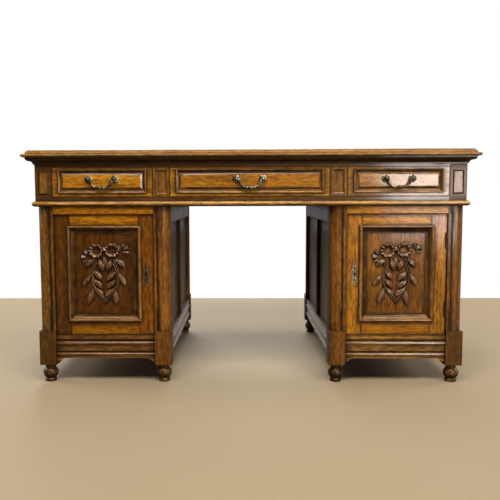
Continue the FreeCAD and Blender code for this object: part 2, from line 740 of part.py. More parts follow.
# Turned feet: a base disc, a groove, a round bulb and a neck that flares into the block
base_top = size.foot_height * 3 / 20
bulb_low = size.foot_height / 4
bulb_high = size.foot_height * 3 / 4
bulb_swell = size.foot_bulb_radius - size.foot_base_radius
half_bulb = (bulb_high - bulb_low) / 2
bulb_round = (half_bulb * half_bulb / bulb_swell + bulb_swell) / 2
foot = turned("foot_turning", [
    (ZERO, ZERO, None), (size.foot_base_radius, ZERO, None), (size.foot_base_radius, base_top, None),
    (size.foot_neck_radius, (base_top + bulb_low) / 2, None), (size.foot_base_radius, bulb_low, bulb_round),
    (size.foot_base_radius, bulb_high, None), (size.foot_neck_radius, bulb_high + size.foot_collar, None),
    (size.foot_neck_radius, size.foot_height - size.foot_flare, None),
    (size.foot_base_radius, size.foot_height, None), (ZERO, size.foot_height, None)])
foot_pair = group("foot_pair", [
    placed(f"{label}_foot", foot, (x, corner_y, ZERO))
    for label, x in (("outer", corner_x), ("inner", -knee_plane - size.post_width / 2))])
node("feet", group("feet", four_ways("foot_pair", foot_pair)))

# Doors: stiles and rails grooved for the panel, and a bolection moulding that laps the frame
door_x = (door_left, door_right)
door_y = (door_face, door_back)
door_z = (door_bottom, door_top)
sight_x = (door_left + size.stile_width, door_right - size.stile_width)
sight_z = (door_bottom + size.bottom_door_rail, door_top - size.top_door_rail)
panel_face = door_face + size.door_panel_sink
door_panel = board("door_panel_board", grown(sight_x, size.door_panel_tongue),
                   (panel_face, panel_face + size.door_panel_thickness),
                   grown(sight_z, size.door_panel_tongue))
keyhole_x = door_right - size.lock_backset
keyway = rod("keyway", size.keyhole_radius, size.door_thickness,
             (keyhole_x, door_back, size.lock_height), STAND_UP)
hinge_stile = cut("hinge_stile", board("hinge_stile_stock", (door_left, sight_x[0]), door_y, door_z),
                  [door_panel, *door_slots])
lock_stile = cut("lock_stile", board("lock_stile_stock", (sight_x[1], door_right), door_y, door_z),
                 [door_panel, keyway])
frame_rails = []
for label, span in (("bottom", (door_bottom, sight_z[0])), ("top", (sight_z[1], door_top))):
    rail_stock = board(f"{label}_door_rail_stock", sight_x, door_y, span)
    frame_rails.append(cut(f"{label}_door_rail", rail_stock, [door_panel]))
door_frame = node("front_left_door_frame", group("front_left_door_frame",
                                                 [hinge_stile, lock_stile, *frame_rails]))
bead_round = size.bolection_bead
bead_seat = bead_round * 3 / 5
bead_crown = bead_seat + bead_round
drop = size.door_panel_sink
quirk = size.bolection_quirk
bolection_profile = [
    (ZERO, ZERO, None), (size.bolection_lap, ZERO, None), (size.bolection_lap, -drop, None),
    (size.bolection_band, -drop, None),
    (size.bolection_band, bead_round / 2 - drop, -size.bolection_band * 2 / 3),
    (quirk + bead_round * 2, bead_seat, bead_round), (quirk + bead_round, bead_crown, bead_round),
    (quirk, bead_seat, None), (ZERO, bead_seat, None)]
bolection = mitred_frame("bolection", bolection_profile, sight_x[1] - sight_x[0] + size.bolection_lap * 2,
                         sight_z[1] - sight_z[0] + size.bolection_lap * 2, size.bolection_band,
                         -drop, bead_crown)
put(bolection, (door_middle, door_face, (sight_z[0] + sight_z[1]) / 2), STAND_UP)
door_panel_node = node("front_left_door_panel", group("front_left_door_panel", [door_panel, bolection]))

# Escutcheon: a long pointed plate with a waist at the keyhole
plate_half = size.escutcheon_tall / 2
plate_side = size.escutcheon_width / 2
neck_side = plate_side * 9 / 20
neck_level = plate_half / 2
belly_level = plate_half * 9 / 50
plate_outline = [
    (ZERO, -plate_half, None), (neck_side, -neck_level, None), (plate_side, -belly_level, None),
    (plate_side, belly_level, None), (neck_side, neck_level, None), (ZERO, plate_half, None),
    (-neck_side, neck_level, None), (-plate_side, belly_level, None),
    (-plate_side, -belly_level, None), (-neck_side, -neck_level, None)]
plate = placed("escutcheon_plate", padded("escutcheon_body", "XY_Plane",
                                          [(plate_outline, size.escutcheon_thickness)]),
               (keyhole_x, door_face, size.lock_height), STAND_UP)
plate_hole = rod("escutcheon_hole", size.keyhole_radius, size.escutcheon_thickness,
                 (keyhole_x, door_face, size.lock_height), STAND_UP)
escutcheon = cut("escutcheon", plate, [plate_hole])
lock_pieces = [escutcheon, lock_case, *door_halves]
door_lock = node("front_left_door_lock", group("front_left_door_lock", lock_pieces))
bolt = node("front_left_bolt", group("front_left_bolt", [board("lock_bolt", bolt_x, bolt_y, bolt_z)]))


def copy_round(first_name, source):
    """Copies of a front left node at the other three corners, named for where they stand."""
    node(first_name.replace("front_left", "front_right"),
         mirrored(first_name.replace("front_left", "front_right"), source, X_AXIS))
    node(first_name.replace("front_left", "back_left"),
         mirrored(first_name.replace("front_left", "back_left"), source, Y_AXIS))
    node(first_name.replace("front_left", "back_right"),
         about_face(first_name.replace("front_left", "back_right"), source))


for source in (door_frame, door_panel_node, door_lock, bolt):
    copy_round(source.Label, source)

# Drawers: a framed front, two sides, a back and a bottom, on runners
handle_plane = -size.field_rise


def drawer(place, low, high):
    """The front and the box of one drawer between two jambs on X."""
    width = high - low - size.drawer_gap * 2
    middle = (low + high) / 2
    front = put(framed_front(place, width), (middle, -front_plane, opening_bottom + size.drawer_gap))
    box_front = size.drawer_front_thickness - front_plane
    box_back = -size.partition / 2 - size.drawer_back_room
    left, right = low + size.drawer_gap, high - size.drawer_gap
    base = opening_bottom + size.runner_clearance
    top = base + size.drawer_side_height
    floor = base + size.drawer_bottom_lift
    side = size.drawer_side
    box = group(f"{place}_box", [
        board(f"{place}_left_side", (left, left + side), (box_front, box_back), (base, top)),
        board(f"{place}_right_side", (right - side, right), (box_front, box_back), (base, top)),
        board(f"{place}_back", (left + side, right - side), (box_back - side, box_back), (base, top)),
        board(f"{place}_bottom", (left + side, right - side), (box_front, box_back - side),
              (floor, floor + size.drawer_bottom))])
    return front, box, middle


# Handle: two turned posts with a cross bore, and a bail of round wire with three knops
neck = size.handle_neck_radius
head_radius = size.handle_head_radius
head_low = size.handle_reach - head_radius * 3 / 5
post_turning = turned("handle_turning", [
    (ZERO, ZERO, None), (size.rosette_radius, ZERO, None), (size.rosette_radius, size.rosette_edge, None),
    (size.rosette_radius * 2 / 3, size.rosette_shoulder, None), (neck, size.rosette_rise, None),
    (neck, head_low, None),
    (head_radius * 4 / 5, head_low, head_radius), (head_radius, size.handle_reach, head_radius),
    (ZERO, size.handle_reach + head_radius, None)])
bail_radius = size.bail_wire_radius
cross_bore = rod("handle_bore", bail_radius + size.bail_clearance, head_radius * 4,
                 (-head_radius * 2, ZERO, size.handle_reach), FreeCAD.Rotation(Y_AXIS, 90))
handle_post = cut("handle_post", post_turning, [cross_bore])
half_spacing = size.handle_spacing / 2
handle_posts = group("handle_pair", [
    placed(f"handle_post_{label}", handle_post, (x, ZERO, ZERO), STAND_UP)
    for label, x in (("left", -half_spacing), ("right", half_spacing))])


def arc_of_wire(name, radius, sweep, place, turn):
    """A part of a ring of the bail's wire, standing in the XZ plane."""
    ring = doc.addObject("Part::Torus", name)
    bind(ring, "Radius1", radius)
    bind(ring, "Radius2", bail_radius)
    ring.setExpression("Angle3", sweep)
    return put(ring, place, FreeCAD.Rotation(Y_AXIS, turn).multiply(STAND_UP))


# Bail: a turned grip with three knops, and on each side a round shoulder, a bend back outwards and a pin
grip_half = size.bail_grip / 2
knop = size.bail_knop_radius
knop_x = size.bail_knop_spacing
knop_foot = (knop * knop - bail_radius * bail_radius).root()
grip_outline = [
    (ZERO, -grip_half, None), (bail_radius, -grip_half, None),
    (bail_radius, -knop_x - knop_foot, knop), (bail_radius, knop_foot - knop_x, None),
    (bail_radius, -knop_foot, knop), (bail_radius, knop_foot, None),
    (bail_radius, knop_x - knop_foot, knop), (bail_radius, knop_x + knop_foot, None),
    (bail_radius, grip_half, None), (ZERO, grip_half, None)]
ALONG_X = FreeCAD.Rotation(Y_AXIS, 90)
grip = placed("bail_grip", turned("bail_grip_turning", grip_outline), (ZERO, ZERO, -size.bail_drop), ALONG_X)
shoulder = size.bail_shoulder_radius
bail_bend = size.bail_bend_radius
shoulder_level = shoulder - size.bail_drop
arcs_apart = shoulder + bail_bend
arcs_rise = shoulder_level + bail_bend
bail_sweep = f"acos({(arcs_rise / arcs_apart).text})"
pin_start = grip_half + (arcs_apart * arcs_apart - arcs_rise * arcs_rise).root()
side_wire = fused("bail_side", [
    arc_of_wire("bail_shoulder", shoulder, bail_sweep, (grip_half, ZERO, shoulder_level), 90),
    arc_of_wire("bail_bend", bail_bend, bail_sweep, (pin_start, ZERO, -bail_bend), -90),
    rod("bail_pin", bail_radius, half_spacing + head_radius / 2 - pin_start, (pin_start, ZERO, ZERO),
        ALONG_X)])
bail = fused("bail_form", [grip, side_wire, mirrored("bail_left_side", side_wire, X_AXIS)])

handle_level = opening_bottom + size.drawer_gap + front_middle + size.bail_drop / 4
handle_y = handle_plane - front_plane
drawer_openings = (("front_left", -outer_jamb, -inner_jamb), ("front_centre", -knee_plane, knee_plane))
for place, low, high in drawer_openings:
    front, box, middle = drawer(place, low, high)
    made = (("drawer_front", group(f"{place}_drawer_front", [front])),
            ("drawer_box", group(f"{place}_drawer_box", [box])),
            ("handle_posts", placed(f"{place}_handle_posts", handle_posts,
                                    (middle, handle_y, handle_level))),
            ("bail", placed(f"{place}_bail", bail, (middle, handle_y - size.handle_reach, handle_level))))
    for label, thing in made:
        first = node(f"{place}_{label}", thing)
        if place == "front_left":
            copy_round(first.Label, first)
        else:
            node(f"back_centre_{label}", about_face(f"back_centre_{label}", first))

doc.recompute()
broken = [item.Label for item in doc.Objects if "Invalid" in item.State or "Error" in item.State]
for name, thing in nodes.items():
    if thing.Shape.isNull() or not thing.Shape.isValid() or not thing.Shape.Solids:
        broken.append(name)
if broken:
    raise RuntimeError("these objects failed: " + ", ".join(broken))
os.makedirs("parts", exist_ok=True)
for name, thing in nodes.items():
    thing.Shape.exportStep(f"parts/{name}.step")
    print(name, len(thing.Shape.Solids), "solids", round(thing.Shape.Volume / 1000), "cm3")
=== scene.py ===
import json
import random
from math import cos, exp, pi, radians, sin, sqrt, tau

import bmesh
import bpy
import numpy as np
from mathutils import Matrix, Vector
from mathutils.bvhtree import BVHTree

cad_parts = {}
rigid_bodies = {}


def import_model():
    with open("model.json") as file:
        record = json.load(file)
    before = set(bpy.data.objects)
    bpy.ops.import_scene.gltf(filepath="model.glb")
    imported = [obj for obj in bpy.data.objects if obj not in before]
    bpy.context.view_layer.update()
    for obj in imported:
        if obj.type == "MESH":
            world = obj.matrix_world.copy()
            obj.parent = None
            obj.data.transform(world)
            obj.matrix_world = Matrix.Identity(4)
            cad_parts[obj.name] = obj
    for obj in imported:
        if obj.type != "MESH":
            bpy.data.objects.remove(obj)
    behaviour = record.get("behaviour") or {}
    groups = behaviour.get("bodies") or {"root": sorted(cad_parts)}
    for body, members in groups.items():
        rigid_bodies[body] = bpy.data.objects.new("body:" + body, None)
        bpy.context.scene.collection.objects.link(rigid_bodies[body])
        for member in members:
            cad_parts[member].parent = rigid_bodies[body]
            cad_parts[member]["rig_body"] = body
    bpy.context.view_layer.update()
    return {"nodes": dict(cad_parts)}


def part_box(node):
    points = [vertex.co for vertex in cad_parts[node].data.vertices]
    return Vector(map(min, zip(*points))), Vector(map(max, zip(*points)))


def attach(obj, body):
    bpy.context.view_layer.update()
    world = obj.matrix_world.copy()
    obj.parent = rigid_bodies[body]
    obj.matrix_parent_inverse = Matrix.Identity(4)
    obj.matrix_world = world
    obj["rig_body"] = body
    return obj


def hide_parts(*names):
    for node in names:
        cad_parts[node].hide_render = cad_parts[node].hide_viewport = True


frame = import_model()
MM = 0.001
# Points this close are one
WELD = 1e-7
CORNERS = ("front_left", "front_right", "back_left", "back_right")
DRAWERS = CORNERS + ("front_centre", "back_centre")
draw = random.Random(1890)


# Nodes, for materials and for what repeats

def wire(tree, node, joins):
    """Link a node's inputs to sockets, or fill them with values."""
    for key, value in joins.items():
        if isinstance(value, bpy.types.NodeSocket):
            tree.links.new(value, node.inputs[key])
        else:
            node.inputs[key].default_value = value
    return node


def step(tree, kind, joins=None, **settings):
    """Add a node, with its settings and inputs. A kind that the tree's family lacks is a shader node's."""
    own = tree.bl_idname.replace("Tree", kind)
    made = tree.nodes.new(own if hasattr(bpy.types, own) else f"ShaderNode{kind}")
    for key, value in settings.items():
        setattr(made, key, value)
    return wire(tree, made, joins or {})


def maths(tree, operation, *values, clamp=False):
    return step(tree, "Math", dict(enumerate(values)), operation=operation, use_clamp=clamp).outputs[0]


def vectors(tree, operation, *values):
    made = step(tree, "VectorMath", dict(enumerate(values)), operation=operation)
    return made.outputs["Value" if operation == "LENGTH" else "Vector"]


def mixed(tree, share, first, second):
    return step(tree, "Mix", {0: share, 6: first, 7: second}, data_type="RGBA").outputs[2]


def eased(tree, value, low, high, start=0.0, end=1.0):
    made = step(tree, "MapRange", {"Value": value, "From Min": low, "From Max": high, "To Min": start,
                                   "To Max": end}, interpolation_type="SMOOTHSTEP")
    return made.outputs["Result"]


def noise(tree, place, stretch, detail=2.0, roughness=0.55, output="Fac"):
    """A noise stretched by three factors, one for each axis of place."""
    scaled = vectors(tree, "MULTIPLY", place, stretch)
    made = step(tree, "TexNoise", {"Vector": scaled, "Scale": 1.0, "Detail": detail, "Roughness": roughness})
    return made.outputs[output]


def attribute(tree, name, output="Vector"):
    return step(tree, "Attribute", attribute_name=name).outputs[output]


def node_group(family, name, inputs, outputs):
    """An empty node group with named sockets, and its two ends."""
    tree = bpy.data.node_groups.new(name, f"{family}NodeTree")
    for way, sockets in ("INPUT", inputs), ("OUTPUT", outputs):
        for label, kind in sockets.items():
            tree.interface.new_socket(label, in_out=way, socket_type=f"NodeSocket{kind}")
    return tree, tree.nodes.new("NodeGroupInput").outputs, tree.nodes.new("NodeGroupOutput")


# How much the streaks, rings, flecks and fibres count in the figure of the oak
STREAKS, RINGS, FLECKS, FIBRES = 0.28, 0.16, 0.42, 0.14
# How far the rings wander, in metres, and the colour of dark wax and of painted shade
WANDER, DARK_WAX_AND_SHADE = 0.03, (0.012, 0.005, 0.002, 1)
# The darkest wood and the pores, as shares of a material's dark tone
DEEP_TONE, PORE_TONE = 0.55, 0.28


def oak_figure_group():
    """Growth rings, streaks, flecks, fibres and open pores, along the first axis of Grain, in metres."""
    tree, given, result = node_group("Shader", "oak_figure", {
        "Grain": "Vector", "Ring Width": "Float"}, {"Figure": "Float", "Pores": "Float", "Height": "Float"})
    grain = given["Grain"]
    drift = vectors(tree, "SUBTRACT", noise(tree, grain, (2.2, 9, 9), output="Color"), (0.5, 0.5, 0.5))
    bend = vectors(tree, "MULTIPLY", drift, (WANDER, WANDER, WANDER))
    across = vectors(tree, "MULTIPLY", vectors(tree, "ADD", grain, bend), (0, 1, 1))
    turn = maths(tree, "DIVIDE", vectors(tree, "LENGTH", across), given["Ring Width"])
    part = maths(tree, "FRACT", turn)
    ring = maths(tree, "MULTIPLY", eased(tree, part, 0, 0.75), eased(tree, part, 0.86, 1, 1, 0))
    streak = noise(tree, grain, (1.7, 42, 42), 3)
    fibre = noise(tree, grain, (11, 300, 300), 4, 0.65)
    fleck = noise(tree, grain, (34, 130, 130), 3, 0.7)
    soft = maths(tree, "MULTIPLY", ring, RINGS)
    soft = maths(tree, "MULTIPLY_ADD", eased(tree, streak, 0.37, 0.63), STREAKS, soft)
    soft = maths(tree, "MULTIPLY_ADD", eased(tree, fleck, 0.43, 0.57), FLECKS, soft)
    figure = maths(tree, "MULTIPLY_ADD", eased(tree, fibre, 0.36, 0.64), FIBRES, soft)
    spots = noise(tree, grain, (42, 1050, 1050), 1)
    early = maths(tree, "MULTIPLY_ADD", ring, -0.6, 1.0)
    pores = maths(tree, "MULTIPLY", eased(tree, spots, 0.56, 0.68), early)
    height = maths(tree, "MULTIPLY_ADD", pores, -0.8, figure)
    wire(tree, result, {"Figure": figure, "Pores": pores, "Height": height})
    return tree


def old_polish_group():
    """Dark wax along joints and rubbed arrises, by a board's own edges, and painted shade with dark wax in
    corners, hollows and undersides, by its shade and wax.
    """
    tree, given, result = node_group("Shader", "old_polish", {
        "Wood": "Color", "Near": "Vector", "Far": "Vector", "Shelter": "Float", "Place": "Vector",
        "Waxing": "Float", "Joint Reach": "Float", "Rub": "Float", "Gloss": "Float"}, {
        "Color": "Color", "Roughness": "Float", "Shine": "Float"})
    inside = vectors(tree, "MINIMUM", given["Near"], given["Far"])
    sides = step(tree, "SeparateXYZ", {0: inside}).outputs
    lower, upper = (maths(tree, kind, sides["X"], sides["Y"]) for kind in ("MINIMUM", "MAXIMUM"))
    edge = maths(tree, "MAXIMUM", lower, maths(tree, "MINIMUM", upper, sides["Z"]))
    patches = noise(tree, given["Place"], (21, 21, 21), 3)
    reach = maths(tree, "MULTIPLY", given["Joint Reach"], eased(tree, patches, 0.25, 0.75, 0.5, 1.6))
    joint = maths(tree, "SUBTRACT", 1.0, maths(tree, "DIVIDE", edge, reach))
    joint = eased(tree, joint, 0, 1)
    # Painted shade and dark wax from the shade and wax attribute, broken into patches
    cover = maths(tree, "MULTIPLY", given["Shelter"], eased(tree, patches, 0.2, 0.8, 0.75, 1.25))
    wax_and_shade = maths(tree, "MAXIMUM", maths(tree, "MULTIPLY", joint, 0.9), cover)
    wax_and_shade = maths(tree, "MULTIPLY", wax_and_shade, given["Waxing"], clamp=True)
    rub = maths(tree, "MULTIPLY", joint, given["Rub"])
    cloud = noise(tree, given["Place"], (6, 16, 16), 3, 0.6)
    aged = step(tree, "HueSaturation", {
        "Hue": eased(tree, patches, 0.3, 0.7, 0.494, 0.506),
        "Value": eased(tree, cloud, 0.28, 0.72, 0.78, 1.22), "Color": given["Wood"]}).outputs["Color"]
    rubbed = mixed(tree, rub, aged, (0.62, 0.40, 0.20, 1))
    smears = noise(tree, given["Place"], (5, 5, 5), 4, 0.6)
    gloss = maths(tree, "ADD", given["Gloss"], eased(tree, smears, 0.25, 0.75, -0.07, 0.09))
    wire(tree, result, {
        "Color": mixed(tree, wax_and_shade, rubbed, DARK_WAX_AND_SHADE),
        "Roughness": maths(tree, "MULTIPLY_ADD", wax_and_shade, 0.16, gloss),
        "Shine": maths(tree, "MULTIPLY_ADD", wax_and_shade, -0.9, 1.0)})
    return tree


def dark_metal_group():
    """Metal that has gone dark in patches, brighter the more it is worn."""
    tree, given, result = node_group("Shader", "dark_metal", {
        "Place": "Vector", "Bright": "Color", "Dark": "Color", "Wear": "Float"}, {
        "Color": "Color", "Roughness": "Float", "Height": "Float"})
    spots = noise(tree, given["Place"], (260, 260, 260), 4, 0.62)
    broad = noise(tree, given["Place"], (45, 45, 45), 2)
    tarnish = maths(tree, "MULTIPLY_ADD", eased(tree, broad, 0.3, 0.7), 0.5,
                    maths(tree, "MULTIPLY", eased(tree, spots, 0.35, 0.65), 0.5))
    tarnish = maths(tree, "SUBTRACT", tarnish, maths(tree, "SUBTRACT", given["Wear"], 0.5), clamp=True)
    wire(tree, result, {
        "Color": mixed(tree, tarnish, given["Bright"], given["Dark"]),
        "Roughness": eased(tree, tarnish, 0, 1, 0.2, 0.46), "Height": spots})
    return tree


OAK_FIGURE = oak_figure_group()
OLD_POLISH = old_polish_group()
DARK_METAL = dark_metal_group()


def new_material(name):
    made = bpy.data.materials.new(name)
    made.use_nodes = True
    return made, made.node_tree, made.node_tree.nodes["Principled BSDF"]


def oak(name, dark, light, gloss=0.42, wax_and_shade_strength=0.95, reach=0.0035, rub=0.0, ring=0.007, coat=0.5):
    """Waxed oak between two tones, for boards that carry grain, tone, near, far and shelter, which paints shade
    and dark wax.
    """
    made, tree, shader = new_material(f"{name}_oak")
    grain = attribute(tree, "grain")
    figure = step(tree, "Group", {"Grain": grain, "Ring Width": ring}, node_tree=OAK_FIGURE).outputs
    deep, pore = ([*(share * part for part in dark), 1] for share in (DEEP_TONE, PORE_TONE))
    wood = mixed(tree, figure["Figure"], deep, (*light, 1))
    tone = attribute(tree, "tone", "Fac")
    wood = step(tree, "HueSaturation", {
        "Hue": eased(tree, tone, 0, 1, 0.496, 0.504), "Value": eased(tree, tone, 0, 1, 0.84, 1.16),
        "Color": wood}).outputs["Color"]
    wood = mixed(tree, maths(tree, "MULTIPLY", figure["Pores"], 0.6), wood, pore)
    polish = step(tree, "Group", {
        "Wood": wood, "Near": attribute(tree, "near"),
        "Far": attribute(tree, "far"), "Shelter": attribute(tree, "shelter", "Fac"),
        "Place": grain, "Waxing": wax_and_shade_strength, "Joint Reach": reach, "Rub": rub, "Gloss": gloss},
        node_tree=OLD_POLISH).outputs
    bump = step(tree, "Bump", {"Strength": 0.35, "Distance": 0.0006, "Height": figure["Height"]})
    wire(tree, shader, {
        "Base Color": polish["Color"], "Roughness": polish["Roughness"], "Normal": bump.outputs["Normal"],
        "Specular IOR Level": 0.22, "Specular Tint": (1.0, 0.6, 0.28, 1), "Coat Roughness": 0.13,
        "Coat Weight": maths(tree, "MULTIPLY", polish["Shine"], coat)})
    return made


def metal(name, bright, dark, wear):
    made, tree, shader = new_material(name)
    place = step(tree, "TexCoord").outputs["Object"]
    surface = step(tree, "Group", {
        "Place": place, "Bright": (*bright, 1), "Dark": (*dark, 1), "Wear": wear}, node_tree=DARK_METAL).outputs
    bump = step(tree, "Bump", {"Strength": 0.7, "Distance": 0.0009, "Height": surface["Height"]})
    wire(tree, shader, {
        "Base Color": surface["Color"], "Roughness": surface["Roughness"], "Normal": bump.outputs["Normal"],
        "Metallic": 1.0})
    return made


# Oak, from the golden drawer fronts to the dark mouldings under the top, whose darkness is partly painted shade
TOP_OAK = oak("top", (0.112, 0.042, 0.006), (0.225, 0.099, 0.020), 0.42, 0.6, 0.003, 0.1, coat=0.2)
# Painted shade: the cornice oak is darker than the wood's own tone, for the shade under the top
SHADED_CORNICE_OAK = oak("cornice", (0.018, 0.006, 0.0015), (0.056, 0.022, 0.006), coat=0.8)
BEAD_OAK = oak("bead", (0.165, 0.065, 0.008), (0.400, 0.185, 0.030), 0.34, reach=0.002)
DRAWER_MOULDING_OAK = oak("drawer_moulding", (0.125, 0.044, 0.003), (0.320, 0.132, 0.014), 0.34, reach=0.0045)
MOULDING_OAK = oak("moulding", (0.080, 0.030, 0.006), (0.230, 0.098, 0.022), 0.34, reach=0.002, coat=0.3)
RAIL_OAK = oak("rail", (0.036, 0.013, 0.003), (0.110, 0.045, 0.010), 0.36, coat=1.0)
CORNER_OAK = oak("corner", (0.036, 0.013, 0.003), (0.110, 0.045, 0.010), coat=0.24)
DRAWER_OAK = oak("drawer", (0.150, 0.050, 0.002), (0.370, 0.148, 0.009), reach=0.005, coat=1.0)
GOLDEN_DRAWER_OAK = oak("golden_drawer", (0.180, 0.060, 0.002), (0.444, 0.178, 0.009), reach=0.005, coat=1.0)
DIE_OAK = oak("die", (0.052, 0.018, 0.003), (0.160, 0.062, 0.010), 0.36)
POST_FIELD_OAK = oak("post_field", (0.062, 0.021, 0.003), (0.190, 0.073, 0.011), 0.36, reach=0.009, coat=0.6)
POST_OAK = oak("post", (0.080, 0.027, 0.003), (0.250, 0.094, 0.013), 0.46, coat=0.12)
# Painted shade: the outer posts take this darker copy of the post oak
SHADED_POST_OAK = oak("outer_post", (0.050, 0.017, 0.002), (0.160, 0.060, 0.008), coat=0.4)
DOOR_OAK = oak("door", (0.145, 0.043, 0.001), (0.350, 0.124, 0.004), coat=0.26)
LOW_RAIL_OAK = oak("low_rail", (0.112, 0.034, 0.001), (0.275, 0.098, 0.003), coat=0.36)
STILE_OAK = oak("stile", (0.090, 0.026, 0.001), (0.250, 0.078, 0.003), reach=0.006)
# Painted light and shade: a lit copy of the stile oak for the right-hand doors, a shaded copy for the left-hand
# hinge stiles
LIT_STILE_OAK = oak("golden_stile", (0.123, 0.035, 0.001), (0.305, 0.104, 0.006), reach=0.006)
SHADED_STILE_OAK = oak("dark_stile", (0.040, 0.013, 0.0006), (0.125, 0.042, 0.002), reach=0.006)
PANEL_OAK = oak("panel", (0.066, 0.020, 0.001), (0.218, 0.076, 0.004), ring=0.009, coat=0.4)
# Painted shade: a shaded copy of the panel oak, for the left-hand doors
SHADED_PANEL_OAK = oak("dark_panel", (0.034, 0.010, 0.0007), (0.110, 0.036, 0.003), ring=0.009, coat=0.25)
SIDE_OAK = oak("side", (0.035, 0.015, 0.004), (0.095, 0.043, 0.014), 0.5, coat=0.15)
PLINTH_OAK = oak("plinth", (0.072, 0.026, 0.004), (0.214, 0.090, 0.017), 0.32, coat=0.8)
FOOT_OAK = oak("foot", (0.024, 0.009, 0.0018), (0.080, 0.033, 0.007), 0.5, coat=0.22)
CARVED_OAK = oak("carved", (0.060, 0.025, 0.008), (0.190, 0.090, 0.036), 0.3, 1.0, coat=0.6)
INSIDE_OAK = oak("inside", (0.300, 0.180, 0.080), (0.520, 0.350, 0.180), 0.62, 0.5, coat=0.0)
BRASS = metal("antique_brass", (0.54, 0.46, 0.30), (0.010, 0.008, 0.005), 0.26)
PLATE_BRASS = metal("plate_brass", (0.33, 0.27, 0.17), (0.034, 0.027, 0.016), 0.5)
STEEL = metal("hinge_steel", (0.110, 0.058, 0.024), (0.036, 0.018, 0.008), 0.3)
BOLT_STEEL = metal("bolt_steel", (0.48, 0.45, 0.40), (0.12, 0.10, 0.08), 0.6)
# Painted shade: near-black metal for the backing seen through the keyhole and piercings
KEYHOLE_SHADE = metal("lock_depth", (0.018, 0.012, 0.008), (0.005, 0.003, 0.002), 0.3)


# Boards: a copy of each wooden node, with eased arrises and its own grain on every board

def values_of(mesh, name):
    """The whole numbers or the vectors that a mesh keeps under a name."""
    found = mesh.attributes[name]
    whole = found.data_type == "INT"
    values = np.empty(len(found.data) * (1 if whole else 3), np.int32 if whole else np.float32)
    found.data.foreach_get("value" if whole else "vector", values)
    return values if whole else values.reshape(-1, 3)


def points_of(mesh):
    return values_of(mesh, "position").astype(float)


def put_values(mesh, name, values):
    kind, field = ("FLOAT_VECTOR", "vector") if values.ndim == 2 else ("FLOAT", "value")
    made = mesh.attributes.new(name, kind, "POINT")
    made.data.foreach_set(field, values.astype(np.float32).ravel())


def solids_of(node):
    """Points and faces of each solid in a CAD node. One ends, and the next begins, where its skin closes."""
    mesh = frame["nodes"][node].data
    places = values_of(mesh, "position")
    keys = [tuple(row) for row in np.round(places * 1e6).astype(int).tolist()]
    corners = np.empty(len(mesh.loops), np.int32)
    mesh.loops.foreach_get("vertex_index", corners)
    solids = []
    points, faces, number, loose = [], [], {}, set()
    for triangle in corners.reshape(-1, 3).tolist():
        face = []
        for corner in triangle:
            if keys[corner] not in number:
                number[keys[corner]] = len(points)
                points.append(places[corner])
            face.append(number[keys[corner]])
        if len(set(face)) < 3:
            continue
        faces.append(face)
        for edge in zip(face, face[1:] + face[:1]):
            if edge[::-1] in loose:
                loose.remove(edge[::-1])
            else:
                loose.add(edge)
        if not loose:
            solids.append((np.array(points), faces))
            points, faces, number, loose = [], [], {}, set()
    return solids


def cut_across(form, low, high, spacing):
    """Divide a board's faces by planes, so that painted shade and dark wax can vary over them."""
    for axis, gap in enumerate(spacing):
        length = high[axis] - low[axis]
        count = int(length / gap) if gap else 0
        for index in range(1, count + 1):
            place = [0.0, 0.0, 0.0]
            place[axis] = low[axis] + length * index / (count + 1)
            normal = [float(axis == other) for other in range(3)]
            everything = [*form.verts, *form.edges, *form.faces]
            bmesh.ops.bisect_plane(form, geom=everything, dist=WELD, plane_co=place, plane_no=normal)


# A front has six solids: its board, four mouldings and its field. The frieze ends have four fronts, then dies.
FRONT_SOLIDS, FRONT_FIELD, LAST_FRONT, FIELD_SPREAD = 6, 5, 23, 0.012
# Turns within one face, over an arris that is eased and over a sharp edge of metal
FLAT_TURN, ARRIS_TURN, METAL_TURN = radians(0.8), radians(21), radians(35)
INSIDE_NODES = ("_drawer_box", "_cupboard_boards", "drawer_carcase")
# How closely the faces of some nodes are divided on each axis, and on which of their solids, if not on all
GAPS = [
    (INSIDE_NODES, (0, 0, 0), None), ("_door_panel", (0.007, 0, 0.007), (0,)),
    ("_door_frame", (0.011, 0, 0.011), None), ("_drawer_front", (0.02, 0, 0.008), (0, FRONT_FIELD)),
    (("_pedestal_frames", "_pedestal_panels"), (0.02, 0.02, 0.02), None)]
LENGTH_GAP = 0.03
# How far a board lies from its tree's heart, and how far along the tree it may begin
HEART, TRUNK = (0.03, 0.16), 40


def spacing_for(node, index, low, high):
    """How closely a board's faces are divided on each axis: nil where nothing is seen of it."""
    for endings, gaps, chosen in GAPS:
        if node.endswith(endings) and (chosen is None or index in chosen):
            return gaps
    longest = int(np.argmax(high - low))
    return tuple(LENGTH_GAP if axis == longest else 0 for axis in range(3))


def made_mesh(thing):
    """The thing as its modifiers leave it, as a plain mesh, and the thing removed."""
    depsgraph = bpy.context.evaluated_depsgraph_get()
    mesh = bpy.data.meshes.new_from_object(thing.evaluated_get(depsgraph))
    bpy.data.objects.remove(thing)
    return mesh


def form_mesh(form, name):
    """A mesh from a form, and the form freed."""
    mesh = bpy.data.meshes.new(name)
    form.to_mesh(mesh)
    form.free()
    return mesh


def add_solid(form, points, faces):
    made = [form.verts.new(point) for point in points]
    for face in faces:
        form.faces.new([made[corner] for corner in face])


def new_object(name, mesh):
    made = bpy.data.objects.new(name, mesh)
    bpy.context.scene.collection.objects.link(made)
    return made


def dress(mesh, *finishes):
    """Give a mesh these materials and no others."""
    mesh.materials.clear()
    for finish in finishes:
        mesh.materials.append(finish)


